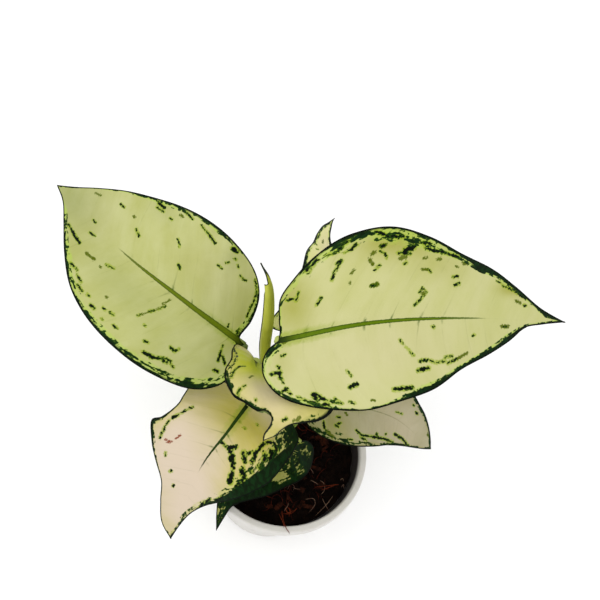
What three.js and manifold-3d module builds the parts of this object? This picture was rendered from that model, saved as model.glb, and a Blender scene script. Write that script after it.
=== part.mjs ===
// Potted Chinese evergreen: seven broad leaves and one furled new leaf on a short leaning cane,
// rooted in potting mix in a small thin-walled nursery pot.
// Millimetres, +Z up, origin at the middle of the pot's base.
import * as THREE from 'three';
import { mergeVertices } from 'three/addons/utils/BufferGeometryUtils.js';
import Module from 'manifold-3d';

const wasm = await Module();
wasm.setup();

// Driving dimensions
const pot = {
  height: 68,
  rimRadius: 45,
  lipWidth: 3.3,
  lipDepth: 6,
  shoulderRadius: 41,
  baseRadius: 30,
  wall: 1.2,
  floor: 1.6,
  holes: 6,
  holeRadius: 3.2,
  holeCircle: 18,
  sides: 48,
};
const mix = {
  top: 60,
  lump: 1.6,
  rings: 7,
  chips: 10,
  strands: 8,
  seed: 5,
};
const clearance = 0.35;
const bladeThickness = 0.7;
const bladeStations = 16;
const bladeCells = 4;

// The cane's middle line and radius
const cane = {
  path: [[4, 6, 44], [1, 6, 62], [-7, 8, 80], [-15, 10, 97], [-18, 11, 106]],
  radius: 4.8,
  scars: [0.36, 0.5, 0.63, 0.74, 0.85],
  scarHeight: 0.7,
};

// A leaf's midrib and stalk are points in the frame. side is the direction of its right half,
// as seen from the stalk, from base to tip. left and right are the margins of the flat blade,
// as millimetres along the midrib and out from it. fold is the angle that the halves rise by at
// the base and at the tip, droop how far a half hangs at 30 mm out, and a wave is the stretch
// of margin that rises or falls: which half, where along, how long and how high.
const leaves = [
  {
    name: 'leaf_right',
    mid: [[-20, -6, 182], [12, 9, 192], [50, 29, 188], [101, 57, 172]],
    side: [[0.42, -0.8, -0.42], [0.45, -0.78, -0.42]],
    left: [[0, 0], [-2, 4], [0, 9], [4, 16], [11, 23.5], [21, 30.5], [34, 36], [50, 38],
      [66, 34.5], [81, 28.5], [96, 21], [112, 11.5], [127, 4.2], [140, 0]],
    right: [[0, 0], [-5, 3], [-8, 8], [-8, 14], [-4, 21], [4, 26.5], [16, 31], [30, 33.5],
      [44, 32], [58, 27.5], [72, 21.5], [86, 15], [98, 9.5], [110, 4.5], [125, 1.5], [140, 0]],
    fold: [8, 3],
    droop: [2, 2],
    waves: [
      { half: 1, at: 62, reach: 16, lift: 2 },
      { half: 0, at: 96, reach: 14, lift: -2 },
    ],
    stalk: [[-13, 11, 102], [-14, 13, 128], [-16, 8, 158], [-20, -6, 182]],
    colour: 0xd3dc9b,
  },
  {
    name: 'leaf_left',
    mid: [[-35, 13, 136], [-67, 14, 156], [-101, 26, 160], [-146, 57, 148]],
    side: [[0.36, 0.81, 0.4], [0.3, 0.86, 0.38]],
    left: [[0, 0], [-4, 9], [-3, 18], [2, 25], [11, 30], [24, 32], [40, 32.5], [58, 31],
      [76, 26], [93, 18], [108, 9.5], [119, 3.5], [131, 0]],
    right: [[0, 0], [1, 5], [5, 13], [9, 22], [17, 29], [28, 33], [42, 35], [57, 34],
      [74, 30], [91, 23], [107, 14], [120, 6], [131, 0]],
    fold: [8, 3],
    droop: [1.5, 1.5],
    waves: [
      { half: 0, at: 52, reach: 15, lift: 2 },
      { half: 1, at: 80, reach: 16, lift: -2 },
    ],
    stalk: [[-19, 9, 100], [-27, 9, 114], [-32, 10, 126], [-35, 13, 136]],
    colour: 0xc3cf97,
  },
  {
    name: 'leaf_front',
    mid: [[-27, 3, 143], [-25, -8, 157], [-19, -22, 168], [-11.5, -30, 165], [-13, -32, 144]],
    side: [[-0.9, 0.2, 0.35], [-0.98, -0.05, 0.12], [-0.98, -0.1, 0]],
    left: [[0, 0], [-4, 7], [-3, 16], [4, 24], [12, 30], [23, 33], [34, 32], [43, 29], [48, 24],
      [50, 17], [50.5, 11], [52, 6], [57, 4], [63, 3.5], [71, 0]],
    right: [[0, 0], [-5, 3], [-9, 7], [-7, 11], [4, 12], [16, 11.5], [25, 14], [32, 14.5],
      [37, 13], [39.5, 9.5], [43, 6], [44.5, 3], [49, 1.6], [57, 1.2], [65, 1.2], [71, 0]],
    fold: [4, -4],
    droop: [6, 14],
    waves: [{ half: 1, at: 38, reach: 8, lift: 3 }],
    stalk: [[-16, 6, 94], [-21, 8, 108], [-26, 9, 126], [-27, 3, 143]],
    colour: 0xd9cf96,
  },
  {
    name: 'leaf_back',
    mid: [[-17, 26, 140], [-10, 36, 152], [-8, 62, 147], [-14, 111, 126]],
    side: [[0.98, -0.1, -0.1], [0.95, -0.1, -0.2]],
    left: [[0, 0], [-4, 4], [-4, 9], [6, 11], [20, 11.5], [36, 12.5], [50, 13], [63, 11],
      [76, 8], [88, 4], [98, 0]],
    right: [[0, 0], [-4, 6], [1, 13], [13, 18], [30, 19], [45, 15], [58, 8], [70, 2.5],
      [84, 1.5], [98, 0]],
    fold: [8, 3],
    droop: [2, 2],
    waves: [{ half: 1, at: 40, reach: 12, lift: 2 }],
    stalk: [[-14, 12, 96], [-14, 19, 110], [-17, 25, 126], [-17, 26, 140]],
    colour: 0xd7dbb0,
  },
  {
    name: 'leaf_low_left',
    mid: [[-25, -5, 113], [-29, -24, 122], [-36, -41, 107], [-40, -62, 62]],
    side: [[-0.97, 0.17, 0.1], [-0.97, 0.17, 0.1]],
    left: [[0, 0], [-6, 6], [-8, 14], [-8, 22], [-3, 29], [7, 30], [18, 29.5], [30, 28.5],
      [42, 25], [52, 19], [60, 12.5], [71, 8.5], [84, 4], [96, 0]],
    right: [[0, 0], [-6, 6], [-6, 14], [-2, 22], [7, 27], [18, 26.5], [28, 25.5], [36, 27.5],
      [41, 30], [47, 25], [54, 17.5], [64, 13], [77, 10.5], [87, 7], [96, 0]],
    fold: [5, 0],
    droop: [5, 5],
    waves: [
      { half: 1, at: 41, reach: 9, lift: -4 },
      { half: 0, at: 48, reach: 12, lift: 2.5 },
    ],
    stalk: [[-12, 5, 86], [-17, -1, 95], [-22, -5, 104], [-25, -5, 113]],
    colour: 0xdcc9a4,
  },
  {
    name: 'leaf_low_right',
    mid: [[8, 16, 100], [23, 13, 112], [47, 16, 108], [73, 17, 86]],
    side: [[-0.08, -0.86, -0.5], [-0.1, -0.9, -0.4]],
    left: [[0, 0], [-5, 6], [-3, 13], [6, 19], [18, 21], [32, 20], [43, 17], [52, 13.5],
      [61, 11], [69, 7.5], [75, 3.5], [79, 0]],
    right: [[0, 0], [-5, 6], [-3, 13], [4, 16.5], [12, 18.5], [22, 19.3], [36, 17],
      [47, 13.5], [57, 9.5], [67, 5.5], [74, 2.5], [79, 0]],
    fold: [6, 3],
    droop: [2, 2],
    waves: [{ half: 1, at: 36, reach: 12, lift: 1.5 }],
    stalk: [[-1, 10, 72], [3, 17, 82], [5, 18, 93], [8, 16, 100]],
    colour: 0xc9c6a8,
  },
  {
    name: 'leaf_under',
    mid: [[5, 2, 76], [-6, -15, 84], [-15.5, -33, 79], [-20, -51, 64]],
    side: [[-0.9, 0.3, 0.1], [-0.9, 0.4, 0]],
    left: [[0, 0], [-5, 3], [-5, 8], [1, 13], [9, 17], [18, 18], [27, 15.5], [36, 12.5],
      [44, 9.5], [50, 4.5], [58, 2.5], [68, 0]],
    right: [[0, 0], [2, 5], [8, 10], [17, 14], [27, 15], [38, 13.5], [48, 9], [56, 5], [62, 3],
      [68, 0]],
    fold: [6, 3],
    droop: [3, 3],
    waves: [{ half: 0, at: 30, reach: 10, lift: 2 }],
    stalk: [[2, 4, 64], [5, 4, 68], [6, 3, 72], [5, 2, 76]],
    colour: 0x5f7a45,
  },
];
const stalkRadius = { base: 3.1, top: 2.1 };
const ribRadius = { base: 1.5, tip: 0.5, reach: 0.72, depth: 0.7 };

// The rolled new leaf: its middle line, and its radius from foot to tip
const furled = {
  path: [[-19, 13, 105], [-25, 16, 130], [-30, 16, 160], [-33, 15, 182], [-36, 14, 200]],
  radii: [2.6, 3, 3.3, 3.4, 3.2, 2.7, 1.9, 0.9],
  seamStep: 0.22,
};

// Seeded random numbers from 0 to 1
function randomFrom(seed) {
  let state = seed;
  return () => {
    state = (state * 16807) % 2147483647;
    return state / 2147483647;
  };
}

function curveOf(points) {
  return new THREE.CatmullRomCurve3(points.map((p) => new THREE.Vector3(...p)), false, 'catmullrom', 0.5);
}

function mixed(a, b, share) {
  return a + (b - a) * share;
}

// Solids

function solidOf(geometry) {
  const bare = new THREE.BufferGeometry();
  bare.setAttribute('position', geometry.getAttribute('position'));
  bare.setIndex(geometry.getIndex());
  const merged = mergeVertices(bare, 1e-4);
  const index = Array.from(merged.getIndex().array);
  const kept = [];
  for (let i = 0; i < index.length; i += 3) {
    const [a, b, c] = index.slice(i, i + 3);
    if (a !== b && b !== c && c !== a) kept.push(a, b, c);
  }
  return new wasm.Manifold(new wasm.Mesh({
    numProp: 3,
    vertProperties: new Float32Array(merged.getAttribute('position').array),
    triVerts: new Uint32Array(kept),
  }));
}

// The largest body of a solid that cutting may have left in several
function largestOf(solid) {
  return solid.decompose().sort((a, b) => b.volume() - a.volume())[0];
}

function geometryOf(solid) {
  const mesh = solid.getMesh();
  const geometry = new THREE.BufferGeometry();
  geometry.setAttribute('position', new THREE.BufferAttribute(new Float32Array(mesh.vertProperties), 3));
  geometry.setIndex(new THREE.BufferAttribute(new Uint32Array(mesh.triVerts), 1));
  geometry.computeVertexNormals();
  return geometry;
}

// A turned profile of radii, closed at both ends and bent along a curve. extra makes it larger
// all round and at both ends.
function bentLathe(curve, radii, sides, extra = 0, shaped = (angle, radius) => radius) {
  const steps = radii.length - 1;
  const profile = [new THREE.Vector2(0, 0)];
  radii.forEach((radius, i) => profile.push(new THREE.Vector2(radius + extra, i / steps)));
  profile.push(new THREE.Vector2(0, 1));
  const geometry = new THREE.LatheGeometry(profile, sides);
  const frames = curve.computeFrenetFrames(steps, false);
  const position = geometry.getAttribute('position');
  for (let i = 0; i < position.count; i += 1) {
    const point = new THREE.Vector3().fromBufferAttribute(position, i);
    const step = Math.round(point.y * steps);
    const angle = Math.atan2(point.z, point.x);
    const radius = shaped(angle, Math.hypot(point.x, point.z));
    const beyond = (step === steps ? extra : 0) - (step === 0 ? extra : 0);
    const moved = curve.getPointAt(step / steps)
      .addScaledVector(frames.tangents[step], beyond)
      .addScaledVector(frames.normals[step], radius * Math.cos(angle))
      .addScaledVector(frames.binormals[step], radius * Math.sin(angle));
    position.setXYZ(i, moved.x, moved.y, moved.z);
  }
  const solid = solidOf(geometry);
  return solid.volume() > 0 ? solid : solidOf(flipped(geometry));
}

function flipped(geometry) {
  const index = geometry.getIndex();
  for (let i = 0; i < index.count; i += 3) {
    const first = index.getX(i);
    index.setX(i, index.getX(i + 1));
    index.setX(i + 1, first);
  }
  return geometry;
}

// Leaves

// A point of the flat margin, by its share of the way from base to tip
function marginPoint(points, share) {
  const last = points.length - 1;
  const place = Math.min(share, 1) * last;
  const i = Math.min(Math.floor(place), last - 1);
  const w = place - i;
  const at = (k, axis) => {
    if (k < 0) return 2 * points[0][axis] - points[1][axis];
    if (k > last) return 2 * points[last][axis] - points[last - 1][axis];
    return points[k][axis];
  };
  return [0, 1].map((axis) => {
    const [a, b, c, d] = [at(i - 1, axis), at(i, axis), at(i + 1, axis), at(i + 2, axis)];
    return 0.5 * (2 * b + (c - a) * w + (2 * a - 5 * b + 4 * c - d) * w ** 2 + (3 * b - a - 3 * c + d) * w ** 3);
  });
}

// The blade's surface: millimetres along the midrib and out from it, to a point in the frame
function bladeShaper(leaf) {
  const midrib = curveOf(leaf.mid);
  const sideway = curveOf(leaf.side);
  const length = midrib.getLength();
  return (along, out) => {
    const share = THREE.MathUtils.clamp(along / length, 0, 1);
    const tangent = midrib.getTangentAt(share);
    const point = midrib.getPointAt(share).addScaledVector(tangent, along - share * length);
    const side = sideway.getPoint(share);
    side.addScaledVector(tangent, -side.dot(tangent)).normalize();
    const up = new THREE.Vector3().crossVectors(side, tangent);
    const fold = THREE.MathUtils.degToRad(mixed(leaf.fold[0], leaf.fold[1], share));
    const half = out < 0 ? 0 : 1;
    let rise = Math.abs(out) * Math.sin(fold) - leaf.droop[half] * (out / 30) ** 2;
    for (const wave of leaf.waves) {
      const near = Math.exp(-(((along - wave.at) / wave.reach) ** 2));
      if (wave.half === half) rise += wave.lift * near * Math.abs(out / 30) ** 1.5;
    }
    return point.addScaledVector(side, out * Math.cos(fold)).addScaledVector(up, rise);
  };
}

function bladeNormal(shape, along, out) {
  const step = 0.5;
  const forward = shape(along + step, out).sub(shape(along - step, out));
  const outward = shape(along, out + step).sub(shape(along, out - step));
  return outward.cross(forward).normalize();
}

function bladeSolid(leaf) {
  const shape = bladeShaper(leaf);
  const length = curveOf(leaf.mid).getLength();
  const columns = 2 * bladeCells + 1;
  const layers = [[], []];
  for (let row = 0; row <= bladeStations; row += 1) {
    const share = row / bladeStations;
    for (let column = -bladeCells; column <= bladeCells; column += 1) {
      const [rimAlong, rimOut] = marginPoint(column < 0 ? leaf.left : leaf.right, share);
      const reach = Math.abs(column) / bladeCells;
      const along = mixed(share * length, rimAlong, reach ** 1.3);
      const out = Math.sign(column) * rimOut * reach;
      const point = shape(along, out);
      const normal = bladeNormal(shape, along, out);
      layers[0].push(point.clone().addScaledVector(normal, bladeThickness / 2));
      layers[1].push(point.clone().addScaledVector(normal, -bladeThickness / 2));
    }
  }
  const perLayer = layers[0].length;
  const index = [];
  const quad = (a, b, c, d) => index.push(a, b, c, a, c, d);
  for (let row = 0; row < bladeStations; row += 1) {
    for (let column = 0; column < columns - 1; column += 1) {
      const a = row * columns + column;
      const [b, c, d] = [a + 1, a + columns + 1, a + columns];
      quad(a, b, c, d);
      index.push(a + perLayer, c + perLayer, b + perLayer, a + perLayer, d + perLayer, c + perLayer);
    }
    const start = row * columns;
    const end = start + columns - 1;
    quad(start, start + columns, start + columns + perLayer, start + perLayer);
    quad(end + columns, end, end + perLayer, end + columns + perLayer);
  }
  const geometry = new THREE.BufferGeometry();
  geometry.setAttribute('position', new THREE.Float32BufferAttribute(
    layers.flat().flatMap((p) => [p.x, p.y, p.z]),
    3,
  ));
  geometry.setIndex(index);
  const solid = solidOf(geometry);
  return solid.volume() > 0 ? solid : solidOf(flipped(geometry));
}

// The raised rib under the blade, from its base to where it fades
function ribSolid(leaf) {
  const shape = bladeShaper(leaf);
  const length = curveOf(leaf.mid).getLength();
  const places = [];
  const radii = [];
  const steps = 6;
  for (let i = 0; i <= steps; i += 1) {
    const along = mixed(-1.5, length * ribRadius.reach, i / steps);
    places.push(shape(along, 0).addScaledVector(bladeNormal(shape, along, 0), -ribRadius.depth));
    radii.push(mixed(ribRadius.base, ribRadius.tip, i / steps));
  }
  const curve = new THREE.CatmullRomCurve3(places, false, 'catmullrom', 0.5);
  return bentLathe(curve, radii, 5);
}

function stalkSolid(leaf, extra = 0) {
  const steps = 7;
  const radii = [];
  for (let i = 0; i <= steps; i += 1) {
    radii.push(mixed(stalkRadius.base, stalkRadius.top, Math.sqrt(i / steps)));
  }
  return bentLathe(curveOf(leaf.stalk), radii, 9, extra);
}

function caneSolid(extra = 0) {
  const steps = 24;
  const radii = [];
  for (let i = 0; i <= steps; i += 1) {
    const scar = Math.max(...cane.scars.map((place) => Math.exp(-(((i / steps - place) / 0.025) ** 2))));
    radii.push(cane.radius + scar * cane.scarHeight);
  }
  return bentLathe(curveOf(cane.path), radii, 14, extra);
}

// The roll's lap makes its radius grow once round, with a step at the seam
function furledSolid(extra = 0) {
  const shaped = (angle, radius) => radius * (1 + furled.seamStep * (angle / (2 * Math.PI)));
  return bentLathe(curveOf(furled.path), furled.radii, 14, extra, shaped);
}

// Pot and mix

function potSolid() {
  const { height, rimRadius, lipWidth, lipDepth, shoulderRadius, baseRadius, wall, floor } = pot;
  const round = 0.6;
  const profile = [
    [0, 0], [baseRadius - round, 0], [baseRadius, round],
    [shoulderRadius, height - lipDepth], [rimRadius - round / 2, height - lipDepth],
    [rimRadius, height - lipDepth + round], [rimRadius, height - round], [rimRadius - round, height],
    [rimRadius - lipWidth + round, height], [rimRadius - lipWidth, height - round],
    [shoulderRadius - wall, height - lipDepth - 1], [baseRadius - wall, floor], [0, floor],
  ];
  const body = solidOf(new THREE.LatheGeometry(profile.map((p) => new THREE.Vector2(...p)), pot.sides)
    .rotateX(Math.PI / 2));
  const holes = [];
  for (let i = 0; i < pot.holes; i += 1) {
    const angle = (2 * Math.PI * i) / pot.holes;
    const hole = new THREE.CylinderGeometry(pot.holeRadius, pot.holeRadius, 4 * floor, 14)
      .rotateX(Math.PI / 2)
      .translate(pot.holeCircle * Math.cos(angle), pot.holeCircle * Math.sin(angle), floor / 2);
    holes.push(solidOf(hole));
  }
  return holes.reduce((solid, hole) => solid.subtract(hole), body);
}

function mixRadiusAt(z) {
  const share = (z - pot.floor) / (pot.height - pot.lipDepth - 1 - pot.floor);
  return mixed(pot.baseRadius, pot.shoulderRadius, share) - pot.wall - clearance;
}

function mixHeightAt(x, y) {
  const rough = Math.sin(0.31 * x + 1.1) * Math.cos(0.27 * y - 0.4) + 0.7 * Math.sin(0.53 * y + 0.21 * x)
    + 0.5 * Math.cos(0.61 * x - 0.47 * y);
  const edge = Math.hypot(x, y) / mixRadiusAt(mix.top);
  return mix.top + mix.lump * 0.6 * rough - 2 * edge ** 4;
}

function mixBody() {
  const bottom = pot.floor + clearance;
  const positions = [];
  const index = [];
  const ringCount = mix.rings + 1;
  const add = (radius, angle, z) => positions.push(radius * Math.cos(angle), radius * Math.sin(angle), z);
  for (let ring = 0; ring <= mix.rings; ring += 1) {
    for (let i = 0; i < pot.sides; i += 1) {
      const angle = (2 * Math.PI * i) / pot.sides;
      const radius = Math.max((mixRadiusAt(mix.top - 3) * ring) / mix.rings, 0);
      add(radius, angle, mixHeightAt(radius * Math.cos(angle), radius * Math.sin(angle)));
    }
  }
  for (let i = 0; i < pot.sides; i += 1) add(mixRadiusAt(bottom), (2 * Math.PI * i) / pot.sides, bottom);
  positions.push(0, 0, bottom);
  const centre = (ringCount + 1) * pot.sides;
  for (let ring = 0; ring < ringCount; ring += 1) {
    for (let i = 0; i < pot.sides; i += 1) {
      const next = (i + 1) % pot.sides;
      const [a, b] = [ring * pot.sides + i, ring * pot.sides + next];
      const [c, d] = [b + pot.sides, a + pot.sides];
      index.push(a, d, c, a, c, b);
    }
  }
  for (let i = 0; i < pot.sides; i += 1) {
    index.push(centre, ringCount * pot.sides + ((i + 1) % pot.sides), ringCount * pot.sides + i);
  }
  const geometry = new THREE.BufferGeometry();
  geometry.setAttribute('position', new THREE.Float32BufferAttribute(positions, 3));
  geometry.setIndex(index);
  return solidOf(geometry);
}

// Husk chips and coir strands lie half sunk in the top of the mix
function mixSolid() {
  const random = randomFrom(mix.seed);
  const parts = [];
  for (let i = 0; i < mix.chips; i += 1) {
    const radius = mixed(8, 32, Math.sqrt(random()));
    const angle = 2 * Math.PI * random();
    const [x, y] = [radius * Math.cos(angle), radius * Math.sin(angle)];
    const chip = new THREE.BoxGeometry(mixed(3, 7, random()), mixed(2, 4, random()), mixed(1, 2.4, random()))
      .rotateX(mixed(-0.5, 0.5, random()))
      .rotateY(mixed(-0.5, 0.5, random()))
      .rotateZ(Math.PI * random())
      .translate(x, y, mixHeightAt(x, y) + 0.3);
    parts.push(solidOf(chip));
  }
  for (let i = 0; i < mix.strands; i += 1) {
    const radius = mixed(9, 29, Math.sqrt(random()));
    const angle = 2 * Math.PI * random();
    const heading = 2 * Math.PI * random();
    const turn = mixed(-0.9, 0.9, random());
    const points = [-1, -0.35, 0.35, 1].map((share) => {
      const reach = mixed(5, 8, random()) * share;
      const x = radius * Math.cos(angle) + reach * Math.cos(heading + turn * share);
      const y = radius * Math.sin(angle) + reach * Math.sin(heading + turn * share);
      return [x, y, mixHeightAt(x, y) + (Math.abs(share) === 1 ? -1 : 0.5)];
    });
    parts.push(bentLathe(curveOf(points), [0.5, 0.7, 0.7, 0.7, 0.5], 4));
  }
  return parts.reduce((solid, part) => solid.add(part), mixBody());
}

// Assembly

const group = new THREE.Group();

function addPiece(name, solid, colour, roughness) {
  const material = new THREE.MeshStandardMaterial({ color: colour, roughness, metalness: 0 });
  const mesh = new THREE.Mesh(geometryOf(largestOf(solid)), material);
  mesh.name = name;
  group.add(mesh);
}

const grownCane = caneSolid(clearance);
const grownStalks = [furledSolid(clearance)];

addPiece('pot', potSolid(), 0xeeeeea, 0.45);
addPiece('potting_mix', mixSolid().subtract(grownCane), 0x2a1b14, 0.95);
addPiece('stem', caneSolid(), 0x8a9a55, 0.6);
addPiece('leaf_furled', furledSolid().subtract(grownCane), 0xa9b35a, 0.4);
for (const leaf of leaves) {
  const stalk = [grownCane, ...grownStalks].reduce((solid, other) => solid.subtract(other), stalkSolid(leaf));
  addPiece(leaf.name, stalk.add(bladeSolid(leaf)).add(ribSolid(leaf)), leaf.colour, 0.35);
  grownStalks.push(stalkSolid(leaf, clearance));
}

export default group;
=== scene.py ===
import math
import random

import bmesh
import bpy
import numpy as np
from mathutils import Matrix, Vector, noise


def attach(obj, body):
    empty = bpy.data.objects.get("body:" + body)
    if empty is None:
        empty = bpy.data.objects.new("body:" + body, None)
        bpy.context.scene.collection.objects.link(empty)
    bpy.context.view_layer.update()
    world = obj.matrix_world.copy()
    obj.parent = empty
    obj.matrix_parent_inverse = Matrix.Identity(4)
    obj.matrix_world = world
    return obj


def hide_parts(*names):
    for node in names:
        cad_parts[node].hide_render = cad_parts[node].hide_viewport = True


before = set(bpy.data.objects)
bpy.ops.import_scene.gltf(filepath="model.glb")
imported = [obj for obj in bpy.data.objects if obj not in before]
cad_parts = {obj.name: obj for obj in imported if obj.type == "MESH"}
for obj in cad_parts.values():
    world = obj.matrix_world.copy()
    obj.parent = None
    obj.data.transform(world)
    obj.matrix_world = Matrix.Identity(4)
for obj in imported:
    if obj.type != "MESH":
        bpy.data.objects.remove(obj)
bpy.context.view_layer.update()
mm = 0.001
weld = 1e-6  # metres within which two vertices count as one


# Shader wiring

class Wire:  # a socket that can stand in sums
    def __init__(self, sheet, socket):
        self.sheet = sheet
        self.socket = socket

    def __add__(self, other):
        return self.sheet.maths("ADD", self, other)

    def __mul__(self, other):
        return self.sheet.maths("MULTIPLY", self, other)

    def __sub__(self, other):
        return self.sheet.maths("SUBTRACT", self, other)

    def __rsub__(self, other):
        return self.sheet.maths("SUBTRACT", other, self)

    def __truediv__(self, other):
        return self.sheet.maths("DIVIDE", self, other)

    def __rtruediv__(self, other):
        return self.sheet.maths("DIVIDE", other, self)

    def __pow__(self, other):
        return self.sheet.maths("POWER", self, other)

    def __abs__(self):
        return self.sheet.maths("ABSOLUTE", self)

    def most(self, other):
        return self.sheet.maths("MAXIMUM", self, other)

    def ramp(self, low, high):  # 0 below low, 1 above high, smooth between; low may be the larger
        return self.sheet.add("MapRange", {"interpolation_type": "SMOOTHSTEP"}, 0, self, low, high, 0.0, 1.0)

    __radd__ = __add__
    __rmul__ = __mul__


class Sheet:  # one material's node tree
    def __init__(self, name):
        self.material = bpy.data.materials.new(name)
        self.material.use_nodes = True
        self.tree = self.material.node_tree
        self.tree.nodes.clear()

    def add(self, kind, settings, out, *values, **named):
        node = self.tree.nodes.new("ShaderNode" + kind)
        for key, value in settings.items():
            setattr(node, key, value)
        for key, value in [*enumerate(values), *named.items()]:
            socket = node.inputs[key.replace("_", " ") if isinstance(key, str) else key]
            if isinstance(value, Wire):
                self.tree.links.new(value.socket, socket)
            elif value is not None:
                socket.default_value = value
        return Wire(self, node.outputs[out])

    def maths(self, operation, *values):
        return self.add("Math", {"operation": operation}, 0, *values)

    def parts(self, vector):
        return [self.add("SeparateXYZ", {}, i, vector) for i in range(3)]

    def attribute(self, name):
        return self.parts(self.add("Attribute", {"attribute_name": name}, 1))

    def place(self):  # object coordinates in millimetres
        point = self.add("TexCoord", {}, 3)
        return self.add("VectorMath", {"operation": "SCALE"}, 0, point, Scale=1 / mm)

    def noise(self, place, detail, rough=0.5, scale=1.0):  # place is a vector or its three parts
        if isinstance(place, tuple):
            place = self.add("CombineXYZ", {}, 0, *place)
        return self.add("TexNoise", {}, 0, Vector=place, Scale=scale, Detail=detail, Roughness=rough)

    def blend(self, share, first, second):  # colours, each a wire or as tint takes it
        first, second = (one if isinstance(one, Wire) else tint(*one) for one in (first, second))
        settings = {"data_type": "RGBA", "clamp_factor": True}
        return self.add("Mix", settings, 2, share, *[None] * 5, first, second)  # the five are for other types

    def finish(self, colour, roughness, height=None, relief=0.0, **constant):
        normal = None
        if height is not None:
            normal = self.add("Bump", {}, 0, Strength=1.0, Distance=relief * mm, Height=height)
        shader = self.add("BsdfPrincipled", {}, 0, Base_Color=colour, Roughness=roughness, Normal=normal,
                          **constant)
        output = self.tree.nodes.new("ShaderNodeOutputMaterial")
        self.tree.links.new(shader.socket, output.inputs[0])
        return self.material


def tint(red, green, blue):  # a colour from 0 to 255 as the screen shows it
    def linear(value):
        value /= 255
        return value / 12.92 if value <= 0.04045 else ((value + 0.055) / 1.055) ** 2.4
    return (linear(red), linear(green), linear(blue), 1.0)


# Meshes

def addObject(name, mesh, materials, node=None):
    piece = bpy.data.objects.new(name, mesh)
    bpy.context.collection.objects.link(piece)
    for material in materials:
        mesh.materials.append(material)
    if node:
        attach(piece, "root")
        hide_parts(node)
    return piece


def fill(mesh, bm):  # moves what bmesh made into the mesh, shaded smooth
    for face in bm.faces:
        face.smooth = True
    bm.to_mesh(mesh)
    bm.free()
    return mesh


def meshOf(bm, name):
    return fill(bpy.data.meshes.new(name), bm)


def gridMesh(name, rows, columns, shaped, fields=None):
    # A grid of rows (0 to 1) by columns (-1 to 1), carried to the points that shaped gives in millimetres
    bm = bmesh.new()
    bmesh.ops.create_grid(bm, x_segments=rows, y_segments=columns, size=1.0)
    mesh = meshOf(bm, name)
    flat = np.empty(len(mesh.vertices) * 3)
    mesh.vertices.foreach_get("co", flat)
    row, column = (flat.reshape(-1, 3)[:, 0] + 1) / 2, flat.reshape(-1, 3)[:, 1]
    mesh.vertices.foreach_set("co", (shaped(row, column) * mm).ravel())
    for key, values in (fields(row, column) if fields else {}).items():
        layer = mesh.attributes.new(key, "FLOAT_VECTOR", "POINT")
        layer.data.foreach_set("vector", np.stack(values, -1).astype(np.float32).ravel())
    bm = bmesh.new()
    bm.from_mesh(mesh)
    bmesh.ops.remove_doubles(bm, verts=bm.verts, dist=weld)
    bmesh.ops.dissolve_degenerate(bm, dist=weld / 10, edges=bm.edges)
    bmesh.ops.recalc_face_normals(bm, faces=bm.faces)
    return fill(mesh, bm)


def joinedMesh(name, meshes):
    bm = bmesh.new()
    for mesh in meshes:
        bm.from_mesh(mesh)
        bpy.data.meshes.remove(mesh)
    return meshOf(bm, name)


def applyModifiers(piece):
    graph = bpy.context.evaluated_depsgraph_get()
    made = bpy.data.meshes.new_from_object(piece.evaluated_get(graph))
    piece.modifiers.clear()
    piece.data = made


def thicken(piece, thickness, back=0):  # back is the place of the other side's material
    thick = piece.modifiers.new("thickness", "SOLIDIFY")
    thick.thickness = thickness * mm
    thick.offset = 0
    thick.material_offset = back
    thick.material_offset_rim = 0
    applyModifiers(piece)


# Curves through points, on arrays

def through(points, place):  # Catmull-Rom, place from 0 to 1
    points = np.asarray(points, float)
    last = len(points) - 1
    spot = np.clip(np.asarray(place, float), 0, 1) * last
    start = np.minimum(spot.astype(int), last - 1)
    w = (spot - start)[..., None]
    padded = np.concatenate([[2 * points[0] - points[1]], points, [2 * points[-1] - points[-2]]])
    a, b, c, d = (padded[start + k] for k in range(4))
    return 0.5 * (2 * b + (c - a) * w + (2 * a - 5 * b + 4 * c - d) * w ** 2
                  + (3 * b - a - 3 * c + d) * w ** 3)


def unit(vectors):
    return vectors / np.linalg.norm(vectors, axis=-1, keepdims=True)


class Path:  # a curve through points, by its share of the length
    def __init__(self, points):
        self.points = points
        self.ticks = np.linspace(0, 1, 401)
        steps = np.linalg.norm(np.diff(through(points, self.ticks), axis=0), axis=1)
        self.travelled = np.concatenate([[0], np.cumsum(steps)])
        self.length = self.travelled[-1]

    def at(self, share):
        return through(self.points, np.interp(np.asarray(share) * self.length, self.travelled, self.ticks))

    def heading(self, share):
        step = 0.004
        share = np.clip(share, step, 1 - step)
        return unit(self.at(share + step) - self.at(share - step))

    def ring(self, share, reference, angle, radius):  # points round the curve; angle 0 is towards the reference
        heading = self.heading(share)
        reference = np.asarray(reference, float)
        first = unit(reference - heading * (heading @ reference)[..., None])
        second = np.cross(heading, first)
        return self.at(share) + radius[:, None] * (first * np.cos(angle)[:, None] + second * np.sin(angle)[:, None])


def closedEnds(row):  # rounds a tube shut at both ends, over this share of its length
    end = np.clip(np.minimum(row, 1 - row) / 0.012, 0, 1)
    return np.sqrt(1 - (1 - end) ** 2)


def tubeMesh(name, path, rows, sides, girth, reference, fields=None):
    def shaped(row, column):
        angle = math.pi * column
        return path.ring(row, reference, angle, girth(row, angle) * closedEnds(row))
    return gridMesh(name, rows, sides, shaped, fields)


# Stage

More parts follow.
